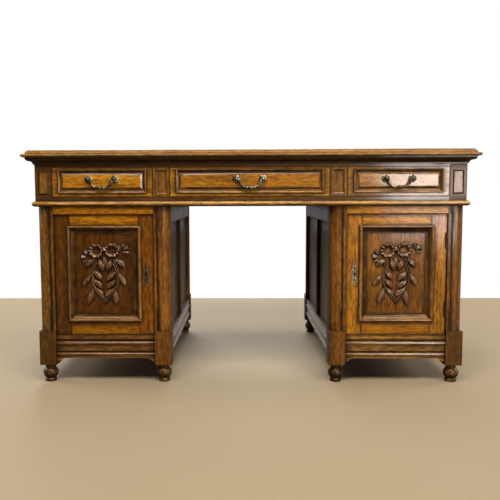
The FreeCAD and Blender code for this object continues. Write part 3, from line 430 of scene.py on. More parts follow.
def give_grain(mesh, board):
    """Write each board's grain, tone and distances to its ends."""
    places = points_of(mesh)
    grain, near, far = np.zeros((3, *places.shape))
    tone = np.zeros(len(places))
    for index in range(board.max() + 1):
        chosen = board == index
        if not chosen.any():
            continue
        own = places[chosen]
        low, high = own.min(0), own.max(0)
        longest = int(np.argmax(high - low))
        order = [longest, (longest + 1) % 3, (longest + 2) % 3]
        heart = draw.uniform(*HEART)
        angle = draw.uniform(0, tau)
        shift = (draw.uniform(0, TRUNK), heart * cos(angle), heart * sin(angle))
        grain[chosen] = (own - (low + high) / 2)[:, order] + shift
        near[chosen] = own - low
        far[chosen] = high - own
        tone[chosen] = draw.random()
    for name, values in {"grain": grain, "near": near, "far": far, "tone": tone}.items():
        put_values(mesh, name, values)


def raised_field(node, index, points):
    """The field of a drawer front, a little wider than its stock, so that its bevel runs into the moulding."""
    is_front = node.endswith(("_drawer_front", "frieze_end_panels")) and index <= LAST_FRONT
    if not is_front or index % FRONT_SOLIDS != FRONT_FIELD:
        return points
    low, high = points.min(0), points.max(0)
    span = high - low
    span[np.argmin(span)] = np.inf
    middle = (low + high) / 2
    return middle + (points - middle) * (1 + FIELD_SPREAD / span)


def boards(node, finishes, arris):
    """A copy of a CAD node with eased arrises, in place of it. finishes gives a material for each solid."""
    form = bmesh.new()
    form.verts.layers.int.new("board")
    for index, (points, faces) in enumerate(solids_of(node)):
        solid = bmesh.new()
        number = solid.verts.layers.int.new("board")
        points = raised_field(node, index, points)
        add_solid(solid, points, faces)
        bmesh.ops.dissolve_limit(solid, angle_limit=FLAT_TURN, verts=solid.verts, edges=solid.edges)
        low, high = points.min(0), points.max(0)
        cut_across(solid, low, high, spacing_for(node, index, low, high))
        for vertex in solid.verts:
            vertex[number] = index
        for face in solid.faces:
            face.smooth = True
            face.material_index = index
        part = form_mesh(solid, "solid")
        form.from_mesh(part)
        bpy.data.meshes.remove(part)
    mesh = form_mesh(form, f"{node}_stock")
    thing = new_object(f"{node}_stock", mesh)
    easing = thing.modifiers.new("eased_arris", "BEVEL")
    easing.width = arris
    easing.segments = 2
    easing.limit_method = "ANGLE"
    easing.angle_limit = ARRIS_TURN
    easing.harden_normals = True
    result = made_mesh(thing)
    bpy.data.meshes.remove(mesh)
    slots = sorted({finish.name for finish in finishes})
    number = np.empty(len(result.polygons), np.int32)
    result.polygons.foreach_get("material_index", number)
    dress(result, *(bpy.data.materials[name] for name in slots))
    last = len(finishes) - 1
    chosen = [slots.index(finishes[min(index, last)].name) for index in range(number.max() + 1)]
    result.polygons.foreach_set("material_index", np.array(chosen, np.int32)[number])
    give_grain(result, values_of(result, "board"))
    return result


def ride(name, mesh, body, replaced=None):
    """A finished piece from a mesh, on its body."""
    mesh.name = name
    made = new_object(name, mesh)
    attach(made, body)
    if replaced:
        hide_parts(replaced)
    return made


OUTER_SIDE = 0.5


def finishes_for(node):
    """The material of each solid in a wooden node, in order, and how far its arrises are eased."""
    left_hand = node.startswith(("front_left", "back_right"))
    field = GOLDEN_DRAWER_OAK if left_hand else DRAWER_OAK
    front = [field] + [DRAWER_MOULDING_OAK] * 4 + [field]
    # Painted light and shade: left-hand doors take shaded copies of the stile and panel oak, right-hand doors a
    # lit copy of the stile oak
    stiles = [SHADED_STILE_OAK, STILE_OAK] if left_hand else [LIT_STILE_OAK] * 2
    panel = SHADED_PANEL_OAK if left_hand else PANEL_OAK
    endings = {
        "_drawer_front": (front, 1.0), "_door_frame": (stiles + [LOW_RAIL_OAK, DOOR_OAK], 1.2),
        "_door_panel": ([panel] + [MOULDING_OAK] * 4, 0.8), **dict.fromkeys(INSIDE_NODES, ([INSIDE_OAK], 0.8)),
        "_pedestal_frames": ([SIDE_OAK] * 4 + [DOOR_OAK] * 2, 1.2), "_pedestal_panels": ([SIDE_OAK], 0.8),
        "_plinth": ([PLINTH_OAK], 1.0), "top_boards": ([TOP_OAK], 0.6), "top_edging": ([TOP_OAK], 1.0),
        "cornice_moulding": ([SHADED_CORNICE_OAK], 0.8), "bead_moulding": ([BEAD_OAK], 0.6),
        "frieze_rails": ([RAIL_OAK], 1.0),
        "frieze_posts": ([CORNER_OAK, POST_FIELD_OAK, POST_FIELD_OAK, DIE_OAK] * 4, 1.4),
        "frieze_end_panels": (front * 4 + [DIE_OAK] * 2, 1.0), "feet": ([FOOT_OAK], 0.6)}
    # The outer posts take the shaded copy of the post oak: painted shade
    if node.endswith("_pedestal_posts"):
        outer = [abs(points[:, 0].mean()) > OUTER_SIDE for points, faces in solids_of(node)]
        return [SHADED_POST_OAK if far_out else POST_OAK for far_out in outer], 1.4
    return next((value for ending, value in endings.items() if node.endswith(ending)), None)


wooden = []
for node in sorted(frame["nodes"]):
    found = finishes_for(node)
    if found:
        finishes, arris = found
        body = frame["nodes"][node]["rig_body"]
        wooden.append(ride(f"{node}_oak", boards(node, finishes, arris * MM), body, node))


# Carving: two laurel branches tied by a ribbon bow, in millimetres right of and above the panel's middle

LEAVES = [
    # foot, tip, width and height of each leaf
    ((-2, 62), (1, 22), 17, 4), ((-19, 52), (-5, 9), 25, 10), ((22, 52), (8, 9), 25, 10),
    ((-39, 13), (-11, -19), 22, 9), ((-38, -16), (-10, -48), 23, 9),
    ((38, 9), (6, -23), 24, 10), ((39, -20), (6, -49), 24, 10),
    ((-35, -44), (-6, -75), 19, 6), ((36, -44), (-1, -78), 22, 6),
    ((-34, 50), (-66, 26), 24, 9), ((35, 52), (68, 23), 24, 9),
    ((-45, -2), (-75, -41), 20, 7), ((45, 6), (69, -41), 21, 7),
    ((-37, -44), (-57, -102), 23, 8), ((33, -50), (37, -106), 24, 8)]
STEMS = [
    [(-33, 52), (-40, 20), (-43, -8), (-39, -40), (-25, -64), (5, -101)],
    [(32, 48), (44, 14), (47, -15), (44, -42), (30, -67), (4, -101)],
    [(-28, 40), (-36, 12), (-38, -14), (-34, -42), (-20, -64), (9, -92)],
    [(27, 38), (39, 10), (42, -16), (39, -42), (25, -66), (-2, -92)]]
TAILS = [
    [(-46, 70), (-58, 74), (-68, 66), (-70, 52), (-64, 42)],
    [(42, 84), (54, 92), (66, 92), (74, 82), (73, 70)]]
LOOPS = [(-29, 77), (26, 79)]
KNOT = (-1, 82)
LOOP_HOLES, LOOP_EDGE, LOOP_PLEATS, LOOP_HIGH, PLEAT_HIGH = [(11.5, 11), (14.5, 10)], 25, 10, 7.5, 2.8
STEM_WIDE, STEM_HIGH, TAIL_WIDE, TAIL_WAVE, KNOT_WIDE, KNOT_HIGH = 2.6, 5, 5.5, 2.4, 4.5, 7.5
# How far the carving is let into the panel
BEDDED = -0.6 * MM


def closed_sheet(rows, floor, ring=False):
    """A solid under a grid of points, down to a level floor. Rows that meet end to end make a ring."""
    form = bmesh.new()
    tops = [[form.verts.new(point) for point in row] for row in rows]
    feet = [[form.verts.new((point[0], point[1], floor)) for point in row] for row in rows]
    count, width = len(rows), len(rows[0])
    steps = [(side, side + 1) for side in range(width - 1)]
    for index in range(count if ring else count - 1):
        after = (index + 1) % count
        for a, b in steps:
            form.faces.new((tops[index][a], tops[after][a], tops[after][b], tops[index][b]))
            form.faces.new((feet[index][a], feet[index][b], feet[after][b], feet[after][a]))
        for side in (0, width - 1):
            form.faces.new((tops[index][side], feet[index][side], feet[after][side], tops[after][side]))
    for end in () if ring else (0, count - 1):
        for a, b in steps:
            form.faces.new((tops[end][a], tops[end][b], feet[end][b], feet[end][a]))
    bmesh.ops.remove_doubles(form, verts=form.verts, dist=WELD)
    bmesh.ops.dissolve_degenerate(form, edges=form.edges, dist=WELD)
    bmesh.ops.recalc_face_normals(form, faces=form.faces)
    for face in form.faces:
        face.smooth = True
    return form_mesh(form, "sheet")


def smooth_line(points, pieces=9):
    """Points along a smooth curve through the given ones."""
    given = [np.array(point, float) for point in points]
    given = [given[0] * 2 - given[1], *given, given[-1] * 2 - given[-2]]
    line = []
    for before, start, end, after in zip(given, given[1:], given[2:], given[3:]):
        for index in range(pieces):
            t = index / pieces
            bend = (2 * before - 5 * start + 4 * end - after) * t**2
            twist = (3 * start - before - 3 * end + after) * t**3
            line.append(0.5 * (2 * start + (end - before) * t + bend + twist))
    return [*line, given[-2]]


def strip_rows(line, half_width, height, across=8):
    """Rows over a line, in millimetres: t runs along it, and s from -1 to 1 over it."""
    rows = []
    for index, point in enumerate(line):
        t = index / (len(line) - 1)
        ahead = line[min(index + 1, len(line) - 1)] - line[max(index - 1, 0)]
        side = np.array((-ahead[1], ahead[0])) / np.hypot(*ahead)
        row = []
        for step_over in range(across + 1):
            s = 2 * step_over / across - 1
            x, y = point + side * half_width(t) * s
            row.append((x * MM, y * MM, height(t, s) * MM))
        rows.append(row)
    return rows


def round_over(s):
    """The height of a half round, from -1 to 1 over it."""
    return sqrt(max(1 - s * s, 0))


def leaf_mesh():
    """A leaf one unit long and wide: two rounded halves, a sunk rib and a tip that lifts."""
    line = [np.array((index / 18, 0.0)) / MM for index in range(19)]

    def half_width(t):
        return 0.5 / MM * sin(pi * t**1.45) ** 0.66 if 0 < t < 1 else 0

    def height(t, s):
        dome = (1 - s * s) ** 0.55 * (0.5 + 0.5 * sin(pi * t**0.9))
        rib = 0.34 * exp(-(s / 0.2) ** 2) * (1 - 0.6 * t)
        return (dome - rib + 0.3 * t * t * (1 - abs(s))) / MM

    return closed_sheet(strip_rows(line, half_width, height, 12), -0.2)


def kept_value(tree, name, kind):
    """What a tree's points keep under a name."""
    return step(tree, "InputNamedAttribute", {"Name": name}, data_type=kind).outputs["Attribute"]


def finish_tree(tree, instances, finish, result):
    """End a tree in real geometry with its material."""
    real = step(tree, "RealizeInstances", {"Geometry": instances}).outputs["Geometry"]
    done = step(tree, "SetMaterial", {"Geometry": real, "Material": finish}).outputs["Geometry"]
    wire(tree, result, {0: done})
    return tree


def leaves_tree():
    """Leaves set on points, each turned and stretched as its point says."""
    tree, given, result = node_group("Geometry", "leaves_on_points", {
        "Points": "Geometry", "Leaf": "Object", "Finish": "Material"}, {"Leaves": "Geometry"})
    leaf = step(tree, "ObjectInfo", {"Object": given["Leaf"]}).outputs["Geometry"]
    placed = step(tree, "InstanceOnPoints", {
        "Points": given["Points"], "Instance": leaf, "Rotation": kept_value(tree, "turn", "FLOAT_VECTOR"),
        "Scale": kept_value(tree, "stretch", "FLOAT_VECTOR")}).outputs["Instances"]
    return finish_tree(tree, placed, given["Finish"], result)


def grown(tree, base, **inputs):
    """The mesh that a Geometry Nodes tree makes from a base mesh and its named inputs."""
    thing = new_object("growing", base)
    growth = thing.modifiers.new("growth", "NODES")
    growth.node_group = tree
    for item in tree.interface.items_tree:
        if item.in_out == "INPUT" and item.name in inputs:
            growth[item.identifier] = inputs[item.name]
    return made_mesh(thing)


def joined(meshes):
    """One mesh from several, in order."""
    form = bmesh.new()
    for mesh in meshes:
        form.from_mesh(mesh)
    return form_mesh(form, "joined")


def laurel_leaves():
    feet, turn, stretch = [], [], []
    for foot, tip, width, height in LEAVES:
        run = Vector(tip) - Vector(foot)
        feet.append((foot[0] * MM, foot[1] * MM, 0))
        turn.append((0, 0, -Vector((1, 0)).angle_signed(run)))
        stretch.append((run.length * MM, width * MM, height * MM))
    base = bpy.data.meshes.new("leaf_feet")
    base.from_pydata(feet, [], [])
    put_values(base, "turn", np.array(turn))
    put_values(base, "stretch", np.array(stretch))
    leaf = new_object("leaf_pattern", leaf_mesh())
    leaves = grown(leaves_tree(), base, Leaf=leaf, Finish=CARVED_OAK)
    bpy.data.objects.remove(leaf)
    for name in ("turn", "stretch"):
        if name in leaves.attributes:
            leaves.attributes.remove(leaves.attributes[name])
    return leaves


def bow_loop(middle, hole):
    """A loop of gathered ribbon, with an oval opening low and towards the knot."""
    rows = []
    turns = LOOP_PLEATS * 10
    inward = np.array((KNOT[0] - middle[0], -14))
    inward = inward / np.hypot(*inward)
    for index in range(turns):
        angle = tau * index / turns
        ray = np.array((cos(angle), sin(angle)))
        folded = 0.7 - 0.3 * float(ray @ inward)
        fold = cos(LOOP_PLEATS * angle + 0.9 * sin(2 * angle)) * folded
        hem = np.array(middle) + ray * (LOOP_EDGE + 2 * fold)
        inner = np.array(middle) + inward * 2 + ray * hole
        row = []
        for across in range(11):
            s = across / 10
            x, y = inner + (hem - inner) * s
            dome = 1.5 + LOOP_HIGH * sin(pi * (0.08 + 0.62 * s))
            pleat = PLEAT_HIGH * fold * (0.3 + 0.7 * s)
            row.append((x * MM, y * MM, (dome + pleat) * min(1, 6 * (1.02 - s)) * MM))
        rows.append(row)
    return closed_sheet(rows, BEDDED, True)


def carved_strip(*strip):
    return closed_sheet(strip_rows(*strip), BEDDED)


def carving():
    """The whole spray, face up."""
    parts = [laurel_leaves()]
    for line in STEMS:
        parts.append(carved_strip(
            smooth_line(line), lambda t: STEM_WIDE - 0.4 * t, lambda t, s: 0.6 + STEM_HIGH * round_over(s), 6))
    for line in TAILS:
        parts.append(carved_strip(
            smooth_line(line), lambda t: TAIL_WIDE + 3.5 * t,
            lambda t, s: 4 + TAIL_WAVE * sin(3.2 * tau * t) + 1.2 * cos(2 * pi * s) * t))
    parts += [bow_loop(middle, hole) for middle, hole in zip(LOOPS, LOOP_HOLES)]
    ends = [np.array((KNOT[0], KNOT[1] + reach)) for reach in np.linspace(-11, 9, 15)]
    parts.append(carved_strip(
        ends, lambda t: 3 + KNOT_WIDE * sin(pi * t),
        lambda t, s: 3 + KNOT_HIGH * round_over(s) * (0.4 + 0.6 * sin(pi * t)) + 0.7 * cos(9 * s)))
    return joined(parts)


STAND_UP = Matrix.Rotation(pi / 2, 4, "X")
HALF_TURN = Matrix.Rotation(pi, 4, "Z")


def faced(corner):
    """The turn from a piece that lies face up to one that stands and faces out on that long side."""
    return STAND_UP if corner.startswith("front") else HALF_TURN @ STAND_UP


def middle_at(low, high, depth):
    """The middle of a box as its long side is seen, at a depth."""
    return Vector(((low[0] + high[0]) / 2, depth, (low[2] + high[2]) / 2))


def panel_middle(corner):
    """The middle of a door panel's face, which lies between the four mouldings round it."""
    panel = solids_of(f"{corner}_door_panel")[0][0]
    low, high = panel.min(0), panel.max(0)
    return middle_at(low, high, low[1] if corner.startswith("front") else high[1])


spray = carving()
give_grain(spray, np.zeros(len(spray.vertices), np.int32))
for name in ("near", "far"):
    spray.attributes[name].data.foreach_set("vector", np.ones(len(spray.vertices) * 3, np.float32))
dress(spray, CARVED_OAK)
for corner in CORNERS:
    copy = spray.copy()
    copy.transform(Matrix.Translation(panel_middle(corner)) @ faced(corner))
    wooden.append(ride(f"{corner}_door_carving", copy, f"{corner}_door"))


# Painted shade and dark wax: how much each point of the wood is closed in, which is where shade falls and dark
# wax gathers

# How strong the painted shade on a field's bevel is, the painted shade and dark wax in moulding hollows, and
# the painted shade on undersides
FIELD_BEVEL_SHADE, HOLLOW_SHADE_AND_WAX, UNDERSIDE_SHADE = 0.85, 0.9, 0.9
# Where the painted shade on a field's bevel begins, and over how much of the field's thickness it grows full
BEVEL_START, BEVEL_DEEP = 0.03, 0.3
# The depths in a moulding, as shares of its thickness, where painted shade and dark wax begin and where they
# are full
HOLLOWS = {"_door_panel_oak": (0.25, 0.65), "_drawer_front_oak": (0.3, 0.6), "_end_panels_oak": (0.3, 0.6)}
# Where a column's quirks lie from its outer corner, and the painted shade on the left outer block and on the
# others
QUIRK, QUIRK_REACH, BLOCK_TOP, BLOCK_SHADE = 0.04325, 0.0034, 0.1761, (0.66, 0.36)
SHADE_REACH, RAY_START, SHADE_GAIN, OPEN_FACE = 0.028, 0.0006, 2.1, 0.12


def shade_rays(count=14):
    rays = []
    for index in range(count):
        reach = sqrt((index + 0.5) / count)
        angle = index * pi * (3 - sqrt(5))
        rays.append((reach * cos(angle), reach * sin(angle), sqrt(1 - reach * reach)))
    return rays


def moulding_hollow(piece, start, full):
    """Painted shade and dark wax in the hollows of mouldings, but not on ledges that face up, and painted shade
    on the bevel of the field between them.
    """
    near, far = values_of(piece.data, "near"), values_of(piece.data, "far")
    board = values_of(piece.data, "board") % FRONT_SOLIDS
    depth = near / np.maximum(near + far, 1e-6)
    if piece.name.startswith("frieze"):
        below = np.where(points_of(piece.data)[:, 0] < 0, depth[:, 0], 1 - depth[:, 0])
    else:
        below = depth[:, 1] if piece.name.startswith("front") else 1 - depth[:, 1]
    ledge = np.array([max(vertex.normal.z, 0) for vertex in piece.data.vertices])
    share = np.clip((below - start) / (full - start), 0, 1)
    bevel = np.clip((below - BEVEL_START) / BEVEL_DEEP, 0, 1)
    moulding, field = (board > 0) & (board < FRONT_FIELD), board == FRONT_FIELD
    return np.select([moulding, field], [share * (1 - ledge), FIELD_BEVEL_SHADE * bevel], 0)


def column_quirks(piece):
    """The points along the two quirks of each column, which lie a fixed way from its outer corner."""
    places, near, far = points_of(piece.data), values_of(piece.data, "near"), values_of(piece.data, "far")
    outward = places[:, 0] * (np.abs(places[:, 0]) - OUTER_SIDE)
    across = np.where(outward > 0, far[:, 0], near[:, 0])
    behind = np.where(places[:, 1] > 0, far[:, 1], near[:, 1])
    on_front = (np.abs(across - QUIRK) < QUIRK_REACH) & (behind < QUIRK / 3)
    on_side = (np.abs(behind - QUIRK) < QUIRK_REACH) & (across < QUIRK / 3)
    return (on_front | on_side) & (places[:, 2] > BLOCK_TOP)


def closed_in(tree, vertex, rays):
    """How much painted shade and dark wax a point takes: how much it is closed in by the wood round it, with
    more painted shade if it lies on an underside.
    """
    up = vertex.normal
    side = up.orthogonal().normalized()
    other = up.cross(side)
    start = vertex.co + up * RAY_START
    hits = 0.0
    for x, y, z in rays:
        distance = tree.ray_cast(start, side * x + other * y + up * z, SHADE_REACH)[3]
        hits += 1 - distance / SHADE_REACH if distance is not None else 0
    # Painted shade on faces that turn downwards
    under = min(max(0.12 - 3 * up.z, 0), 1)
    return SHADE_GAIN * hits / len(rays) - OPEN_FACE + UNDERSIDE_SHADE * under


def paint_shade_and_wax(pieces):
    """Write how much painted shade and dark wax lies on each point of the wood. Insides have none."""
    insides = tuple(f"{ending}_oak" for ending in INSIDE_NODES)
    places, faces = [], []
    for piece in pieces:
        start = len(places)
        places += [vertex.co.copy() for vertex in piece.data.vertices]
        faces += [[start + corner for corner in face.vertices] for face in piece.data.polygons]
    tree = BVHTree.FromPolygons(places, faces)
    rays = shade_rays()
    for piece in pieces:
        covered = np.zeros(len(piece.data.vertices))
        if not piece.name.endswith(insides):
            for vertex in piece.data.vertices:
                covered[vertex.index] = closed_in(tree, vertex, rays)
        for ending, depths in HOLLOWS.items():
            if piece.name.endswith(ending):
                covered += HOLLOW_SHADE_AND_WAX * moulding_hollow(piece, *depths)
        # Painted shade on the lower blocks, darkest on the left outer block, and full painted shade along the
        # column quirks
        if piece.name.endswith("_pedestal_posts_oak"):
            x, y, z = points_of(piece.data).T
            block_shade = np.where(x * np.sign(y) > OUTER_SIDE, *BLOCK_SHADE)
            covered += block_shade * (z < BLOCK_TOP) + column_quirks(piece)
        put_values(piece.data, "shelter", np.clip(covered, 0, 1))


paint_shade_and_wax(wooden)


# Handles: petals round each post, and a cast bail that swells to knops in the middle

def petal_ring_tree():
    """Petals round a circle."""
    tree, given, result = node_group("Geometry", "rosette_petals", {
        "Base": "Geometry", "Petal": "Object", "Count": "Int", "Radius": "Float", "Finish": "Material"}, {
        "Petals": "Geometry"})
    circle = step(tree, "MeshCircle", {"Vertices": given["Count"], "Radius": given["Radius"]})
    petal = step(tree, "ObjectInfo", {"Object": given["Petal"]})
    number = step(tree, "InputIndex").outputs["Index"]
    angle = maths(tree, "MULTIPLY", maths(tree, "DIVIDE", number, given["Count"]), tau)
    placed = step(tree, "InstanceOnPoints", {
        "Points": circle.outputs["Mesh"], "Instance": petal.outputs["Geometry"],
        "Rotation": step(tree, "CombineXYZ", {"Z": angle}).outputs["Vector"]}).outputs["Instances"]
    return finish_tree(tree, placed, given["Finish"], result)


ROSETTE_PETALS, PETAL_RING, PETAL_LONG, PETAL_WIDE, PETAL_HIGH = 8, 4.6, 8.6, 7.4, 3.4
HANDLE_HALF, BAIL_SIDES, BAIL_PLANE, BAIL_LEVEL = 43.5, 14, 0.432, 0.68425
BAIL_LINE = [(46, 0), (40, -0.4), (36.2, -3.4), (34.6, -9), (31.5, -17), (25, -23.6), (16, -27), (8, -28.2),
             (0, -28.5)]
# The bail's radius at its pins, the place and length of its thickening, and the reach of its belly
BAIL_RADIUS, BAIL_NECK, NECK_LONG, BAIL_BELLY = 2.2, 41, 6, 26
# place, rise and reach of each knop along the bail
BAIL_KNOPS = [(0, 2.6, 2.6), (8, 1.9, 2.2), (15, 1.2, 2), (33.5, 0.9, 3)]


def swept_tree():
    """A round bar along a line of points, as thick as each point says."""
    tree, given, result = node_group("Geometry", "cast_bail", {
        "Line": "Geometry", "Sides": "Int", "Finish": "Material"}, {"Bar": "Geometry"})
    line = step(tree, "MeshToCurve", {"Mesh": given["Line"]})
    profile = step(tree, "CurvePrimitiveCircle", {"Resolution": given["Sides"], "Radius": 1.0})
    bar = step(tree, "CurveToMesh", {
        "Curve": line.outputs["Curve"], "Profile Curve": profile.outputs["Curve"],
        "Scale": kept_value(tree, "thickness", "FLOAT"), "Fill Caps": True})
    return finish_tree(tree, bar.outputs["Mesh"], given["Finish"], result)


def cast_bail():
    """The bail round its pins, hanging down from X, in the plane of X and Z."""
    half = smooth_line(BAIL_LINE, 7)
    line = [point * (-1, 1) for point in half] + half[-2::-1]
    radii = []
    for x, z in line:
        along = abs(x)
        radius = BAIL_RADIUS + min(max((BAIL_NECK - along) / NECK_LONG, 0), 1) + max(1 - along / BAIL_BELLY, 0)
        for place, rise, reach in BAIL_KNOPS:
            radius += rise * exp(-((along - place) / reach) ** 2)
        radii.append(radius * MM)
    base = bpy.data.meshes.new("bail_line")
    base.from_pydata([(x * MM, 0, z * MM) for x, z in line], [(i, i + 1) for i in range(len(line) - 1)], [])
    put_values(base, "thickness", np.array(radii))
    bar = grown(swept_tree(), base, Sides=BAIL_SIDES, Finish=BRASS)
    form = bmesh.new()
    form.from_mesh(bar)
    bmesh.ops.remove_doubles(form, verts=form.verts, dist=WELD)
    bmesh.ops.recalc_face_normals(form, faces=form.faces)
    for face in form.faces:
        face.smooth = len(face.verts) < 5
    form.to_mesh(bar)
    form.free()
    return bar


def rosette_petals():
    """A ring of petals, face up."""
    line = [np.array((index / 10 * PETAL_LONG, 0.0)) for index in range(11)]

    def half_width(t):
        swell = 0.25 + 0.75 * sin(pi * min(t * 0.62 + 0.12, 1))
        return PETAL_WIDE / 2 * swell * sqrt(max(1 - t**6, 0))

    def height(t, s):
        swell = 0.45 + 0.55 * sin(pi * (0.15 + 0.7 * t))
        return 1 + PETAL_HIGH * round_over(s) * swell * sqrt(max(1 - t**8, 0))

    petal = new_object("petal_pattern", closed_sheet(strip_rows(line, half_width, height), 0))
    ring = grown(petal_ring_tree(), bpy.data.meshes.new("rosette_base"), Petal=petal, Count=ROSETTE_PETALS,
                 Radius=PETAL_RING * MM, Finish=BRASS)
    bpy.data.objects.remove(petal)
    return ring


petals = rosette_petals()
bail = cast_bail()
for place in DRAWERS:
    low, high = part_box(f"{place}_handle_posts")
    seat, out = (high.y, -1) if place.startswith("front") else (low.y, 1)
    middle = middle_at(low, high, seat)
    pair = []
    for side in (-HANDLE_HALF, HANDLE_HALF):
        copy = petals.copy()
        copy.transform(Matrix.Translation(middle + Vector((side * MM, 0, 0))) @ faced(place))
        pair.append(copy)
    both = joined(pair)
    dress(both, BRASS)
    ride(f"{place}_rosettes", both, f"{place}_drawer")
    dress(frame["nodes"][f"{place}_handle_posts"].data, BRASS)
    low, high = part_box(f"{place}_bail")
    copy = bail.copy()
    copy.transform(Matrix.Translation(((low.x + high.x) / 2, BAIL_PLANE * out, BAIL_LEVEL)))
    ride(f"{place}_cast_bail", copy, f"{place}_bail", f"{place}_bail")


# Locks: a pierced plate in place of the plain one, and the case and hinges as they are

PLATE_EDGE = [
    (0, 44), (1.5, 40), (3.1, 37), (1.9, 33.5), (3.4, 30), (5.6, 25), (4.3, 20.5), (6.2, 15), (9.8, 9),
    (8.2, 3.5), (9.4, -1), (10, -7), (7.4, -13), (4.6, -18), (6.2, -23), (4.2, -28), (2, -33), (3, -37),
    (1.4, -40), (0, -44)]
PLATE_HOLES = [
    # above, below and right of the keyhole
    [(0, 25), (2, 21), (1.8, 17), (0, 14), (-1.8, 17), (-2, 21)],
    [(0, -16), (2, -19), (2.4, -22), (0, -27), (-2.4, -22), (-2, -19)],
    [(6.6, 10), (7.9, 7), (7.1, 2), (7.7, -4), (6.4, -9), (5.7, -2), (5.5, 5)]]
PLATE_HALF_THICKNESS, PLATE_ROUND, KEYHOLE, BACKING = 0.5, 0.3, 4, 0.15


def flat_plate(name, lines, half_thickness, rounding):
    """A plate with the first line as its edge and the others as holes in it, face up."""
    curve = bpy.data.curves.new(name, "CURVE")
    curve.dimensions = "2D"
    curve.fill_mode = "BOTH"
    curve.extrude = half_thickness * MM
    curve.bevel_depth = rounding * MM
    for line in lines:
        spline = curve.splines.new("POLY")
        spline.points.add(len(line) - 1)
        for point, place in zip(spline.points, line):
            point.co = (place[0] * MM, place[1] * MM, 0, 1)
        spline.use_cyclic_u = True
    return made_mesh(bpy.data.objects.new(name, curve))


def pierced_plate():
    """A pointed plate with a scrolled edge, a keyhole and piercings, over a dark backing that paints the shade
    seen through them.
    """
    edge = smooth_line(PLATE_EDGE, 4)
    edge += [point * (-1, 1) for point in edge[-2:0:-1]]
    keyhole = [(KEYHOLE * sin(angle), KEYHOLE * cos(angle)) for angle in np.linspace(-2.6, 2.6, 17)]
    keyhole += [(2, -11), (-2, -11)]
    left = [(-x, y) for x, y in PLATE_HOLES[-1]]
    holes = [smooth_line([*hole, hole[0]], 4)[:-1] for hole in [*PLATE_HOLES, left]]
    plate = flat_plate("pierced_plate", [edge, keyhole, *holes], PLATE_HALF_THICKNESS, PLATE_ROUND)
    backing = flat_plate("plate_backing", [[point * (0.9, 0.96) for point in edge]], BACKING, 0)
    backing.transform(Matrix.Translation((0, 0, (BACKING - PLATE_HALF_THICKNESS - PLATE_ROUND) * MM)))
    for face in backing.polygons:
        face.material_index = 1
    both = joined([plate, backing])
    both.materials.append(PLATE_BRASS)
    both.materials.append(KEYHOLE_SHADE)
    return both


def fittings(node, chosen, finish):
    """The chosen solids of a metal node, as they are."""
    form = bmesh.new()
    for index, (points, faces) in enumerate(solids_of(node)):
        if index in chosen:
            add_solid(form, points, faces)
    mesh = form_mesh(form, node)
    dress(mesh, finish)
    mesh.set_sharp_from_angle(angle=METAL_TURN)
    for face in mesh.polygons:
        face.use_smooth = True
    return mesh


plate = pierced_plate()
for corner in CORNERS:
    node = f"{corner}_door_lock"
    old = solids_of(node)[0][0]
    low, high = old.min(0), old.max(0)
    seat, out = (high[1], -1) if corner.startswith("front") else (low[1], 1)
    copy = plate.copy()
    lift = (PLATE_HALF_THICKNESS + PLATE_ROUND) * MM
    copy.transform(Matrix.Translation(middle_at(low, high, seat + out * lift)) @ faced(corner))
    ride(f"{corner}_escutcheon", copy, f"{corner}_door")
    ride(f"{corner}_lock_fittings", fittings(node, (1, 2, 3), STEEL), f"{corner}_door", node)
    dress(frame["nodes"][f"{corner}_bolt"].data, BOLT_STEEL)
dress(frame["nodes"]["door_hinge_pins"].data, STEEL)


# Stage: a pale floor, soft lamps and the photographer's camera

STAGE, WALL, SQUARE = 9, 1.35, ((-1, -1), (1, -1), (1, 1), (-1, 1))
FLOOR_TONES = (0.320, 0.236, 0.132, 1), (0.365, 0.273, 0.158, 1)
FLOOR_BOUNCE, FLOOR_GLOW, GLOW_START, GLOW_FULL = (0.02, 0.015, 0.01, 1), (0.42, 0.32, 0.195, 1), 1.9, 4.5
LAMPS = [
    # place, aim, width, height and power of each
    ("window", (1.8, -3.6, 1.2), (0.35, -0.3, 0.5), 1.3, 1.95, 113),
    ("overhead", (0.15, -1.9, 2.7), (0, -0.2, 0.5), 3.2, 1.2, 130),
    ("left_fill", (-2.6, -2.6, 1.9), (-0.2, 0, 0.4), 0.9, 1.2, 3),
    ("right_side", (3.6, 0.5, 1.5), (0.7, 0, 0.4), 1.6, 1.4, 72),
    ("left_side", (-3.6, 0.5, 1.5), (-0.7, 0, 0.4), 1.6, 1.4, 66),
    ("rear", (-0.5, 3.4, 2.5), (0, 0.3, 0.5), 3.0, 1.4, 125)]


def flat_sheet(name, corners, finish):
    mesh = bpy.data.meshes.new(name)
    mesh.from_pydata(corners, [], [range(4)])
    dress(mesh, finish)
    return new_object(name, mesh)


def white_wall():
    """A white wall behind, which only the camera sees, and only from in front of it."""
    made, tree = new_material("white_wall")[:2]
    seen = step(tree, "LightPath").outputs["Is Camera Ray"]
    away = step(tree, "NewGeometry").outputs["Backfacing"]
    glow = step(tree, "Emission", {"Color": (1, 1, 1, 1), "Strength": 1.0}).outputs[0]
    clear = step(tree, "BsdfTransparent").outputs[0]
    facing = maths(tree, "MULTIPLY", seen, maths(tree, "SUBTRACT", 1.0, away))
    both = step(tree, "MixShader", {0: facing, 1: clear, 2: glow}).outputs[0]
    wire(tree, tree.nodes["Material Output"], {"Surface": both})
    return flat_sheet("white_wall", [(x * STAGE, WALL, max(z, 0) * STAGE) for x, z in SQUARE], made)


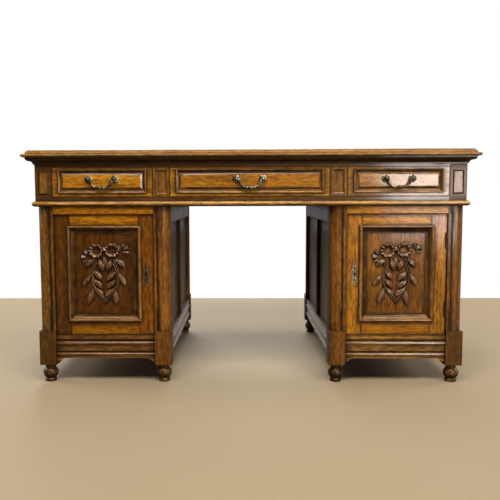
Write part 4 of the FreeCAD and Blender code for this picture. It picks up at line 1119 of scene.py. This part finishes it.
def pale_floor():
    """A floor that is darker to bounced light than to the camera, and glows for it far from the desk."""
    made, tree, shader = new_material("pale_floor")
    place = step(tree, "TexCoord").outputs["Object"]
    cloud = noise(tree, place, (1.3, 1.3, 1.3), 3)
    seen = step(tree, "LightPath").outputs["Is Camera Ray"]
    colour = mixed(tree, cloud, *FLOOR_TONES)
    colour = mixed(tree, seen, mixed(tree, 0.6, colour, FLOOR_BOUNCE), colour)
    distant = eased(tree, vectors(tree, "LENGTH", place), GLOW_START, GLOW_FULL)
    distant = maths(tree, "MULTIPLY", distant, seen)
    wire(tree, shader, {
        "Base Color": colour, "Roughness": 0.7, "Emission Strength": 1.0,
        "Emission Color": mixed(tree, distant, (0, 0, 0, 1), FLOOR_GLOW)})
    return flat_sheet("floor", [(x * STAGE, y * STAGE, 0) for x, y in SQUARE], made)


def studio():
    floor = pale_floor()
    white_wall()
    # The window lamp's light falls on everything but the floor
    spared = bpy.data.collections.new("floor_spared")
    spared.objects.link(floor)
    spared.collection_objects[0].light_linking.link_state = "EXCLUDE"

    world = bpy.data.worlds.new("studio")
    bpy.context.scene.world = world
    world.use_nodes = True
    tree = world.node_tree
    seen = step(tree, "LightPath").outputs["Is Camera Ray"]
    ahead = step(tree, "SeparateXYZ", {0: step(tree, "TexCoord").outputs["Generated"]}).outputs["Y"]
    backdrop = eased(tree, ahead, 0.2, 0.9, 0.05, 0.5)
    strength = maths(tree, "MAXIMUM", seen, backdrop)
    wire(tree, tree.nodes["Background"], {"Color": (1, 1, 1, 1), "Strength": strength})

    for name, place, aim, wide, tall, power in LAMPS:
        lamp = bpy.data.lights.new(name, "AREA")
        lamp.shape = "RECTANGLE"
        lamp.size, lamp.size_y = wide, tall
        lamp.energy = power
        thing = new_object(name, lamp)
        thing.location = place
        thing.rotation_euler = (Vector(aim) - Vector(place)).to_track_quat("-Z", "Y").to_euler()
        if name == "window":
            thing.light_linking.receiver_collection = spared


PICTURE_SIDE, FOCAL_PIXELS, PICTURE_LEFT = 500, 629.0, 18.4
CAMERA_PLACE, CAMERA_PITCH, CAMERA_YAW, CAMERA_ROLL = (-0.0264, -2.494, 0.6289), 0.0858, -0.0161, 0.0031


def photographer():
    data = bpy.data.cameras.new("camera")
    camera = new_object("camera", data)
    data.sensor_width = 36
    data.lens = FOCAL_PIXELS / PICTURE_SIDE * data.sensor_width
    data.shift_x = PICTURE_LEFT / PICTURE_SIDE
    camera.location = CAMERA_PLACE
    camera.rotation_euler = (pi / 2 - CAMERA_PITCH, CAMERA_ROLL, -CAMERA_YAW)
    bpy.context.scene.camera = camera


studio()
photographer()
bpy.context.scene.view_settings.view_transform = "Standard"
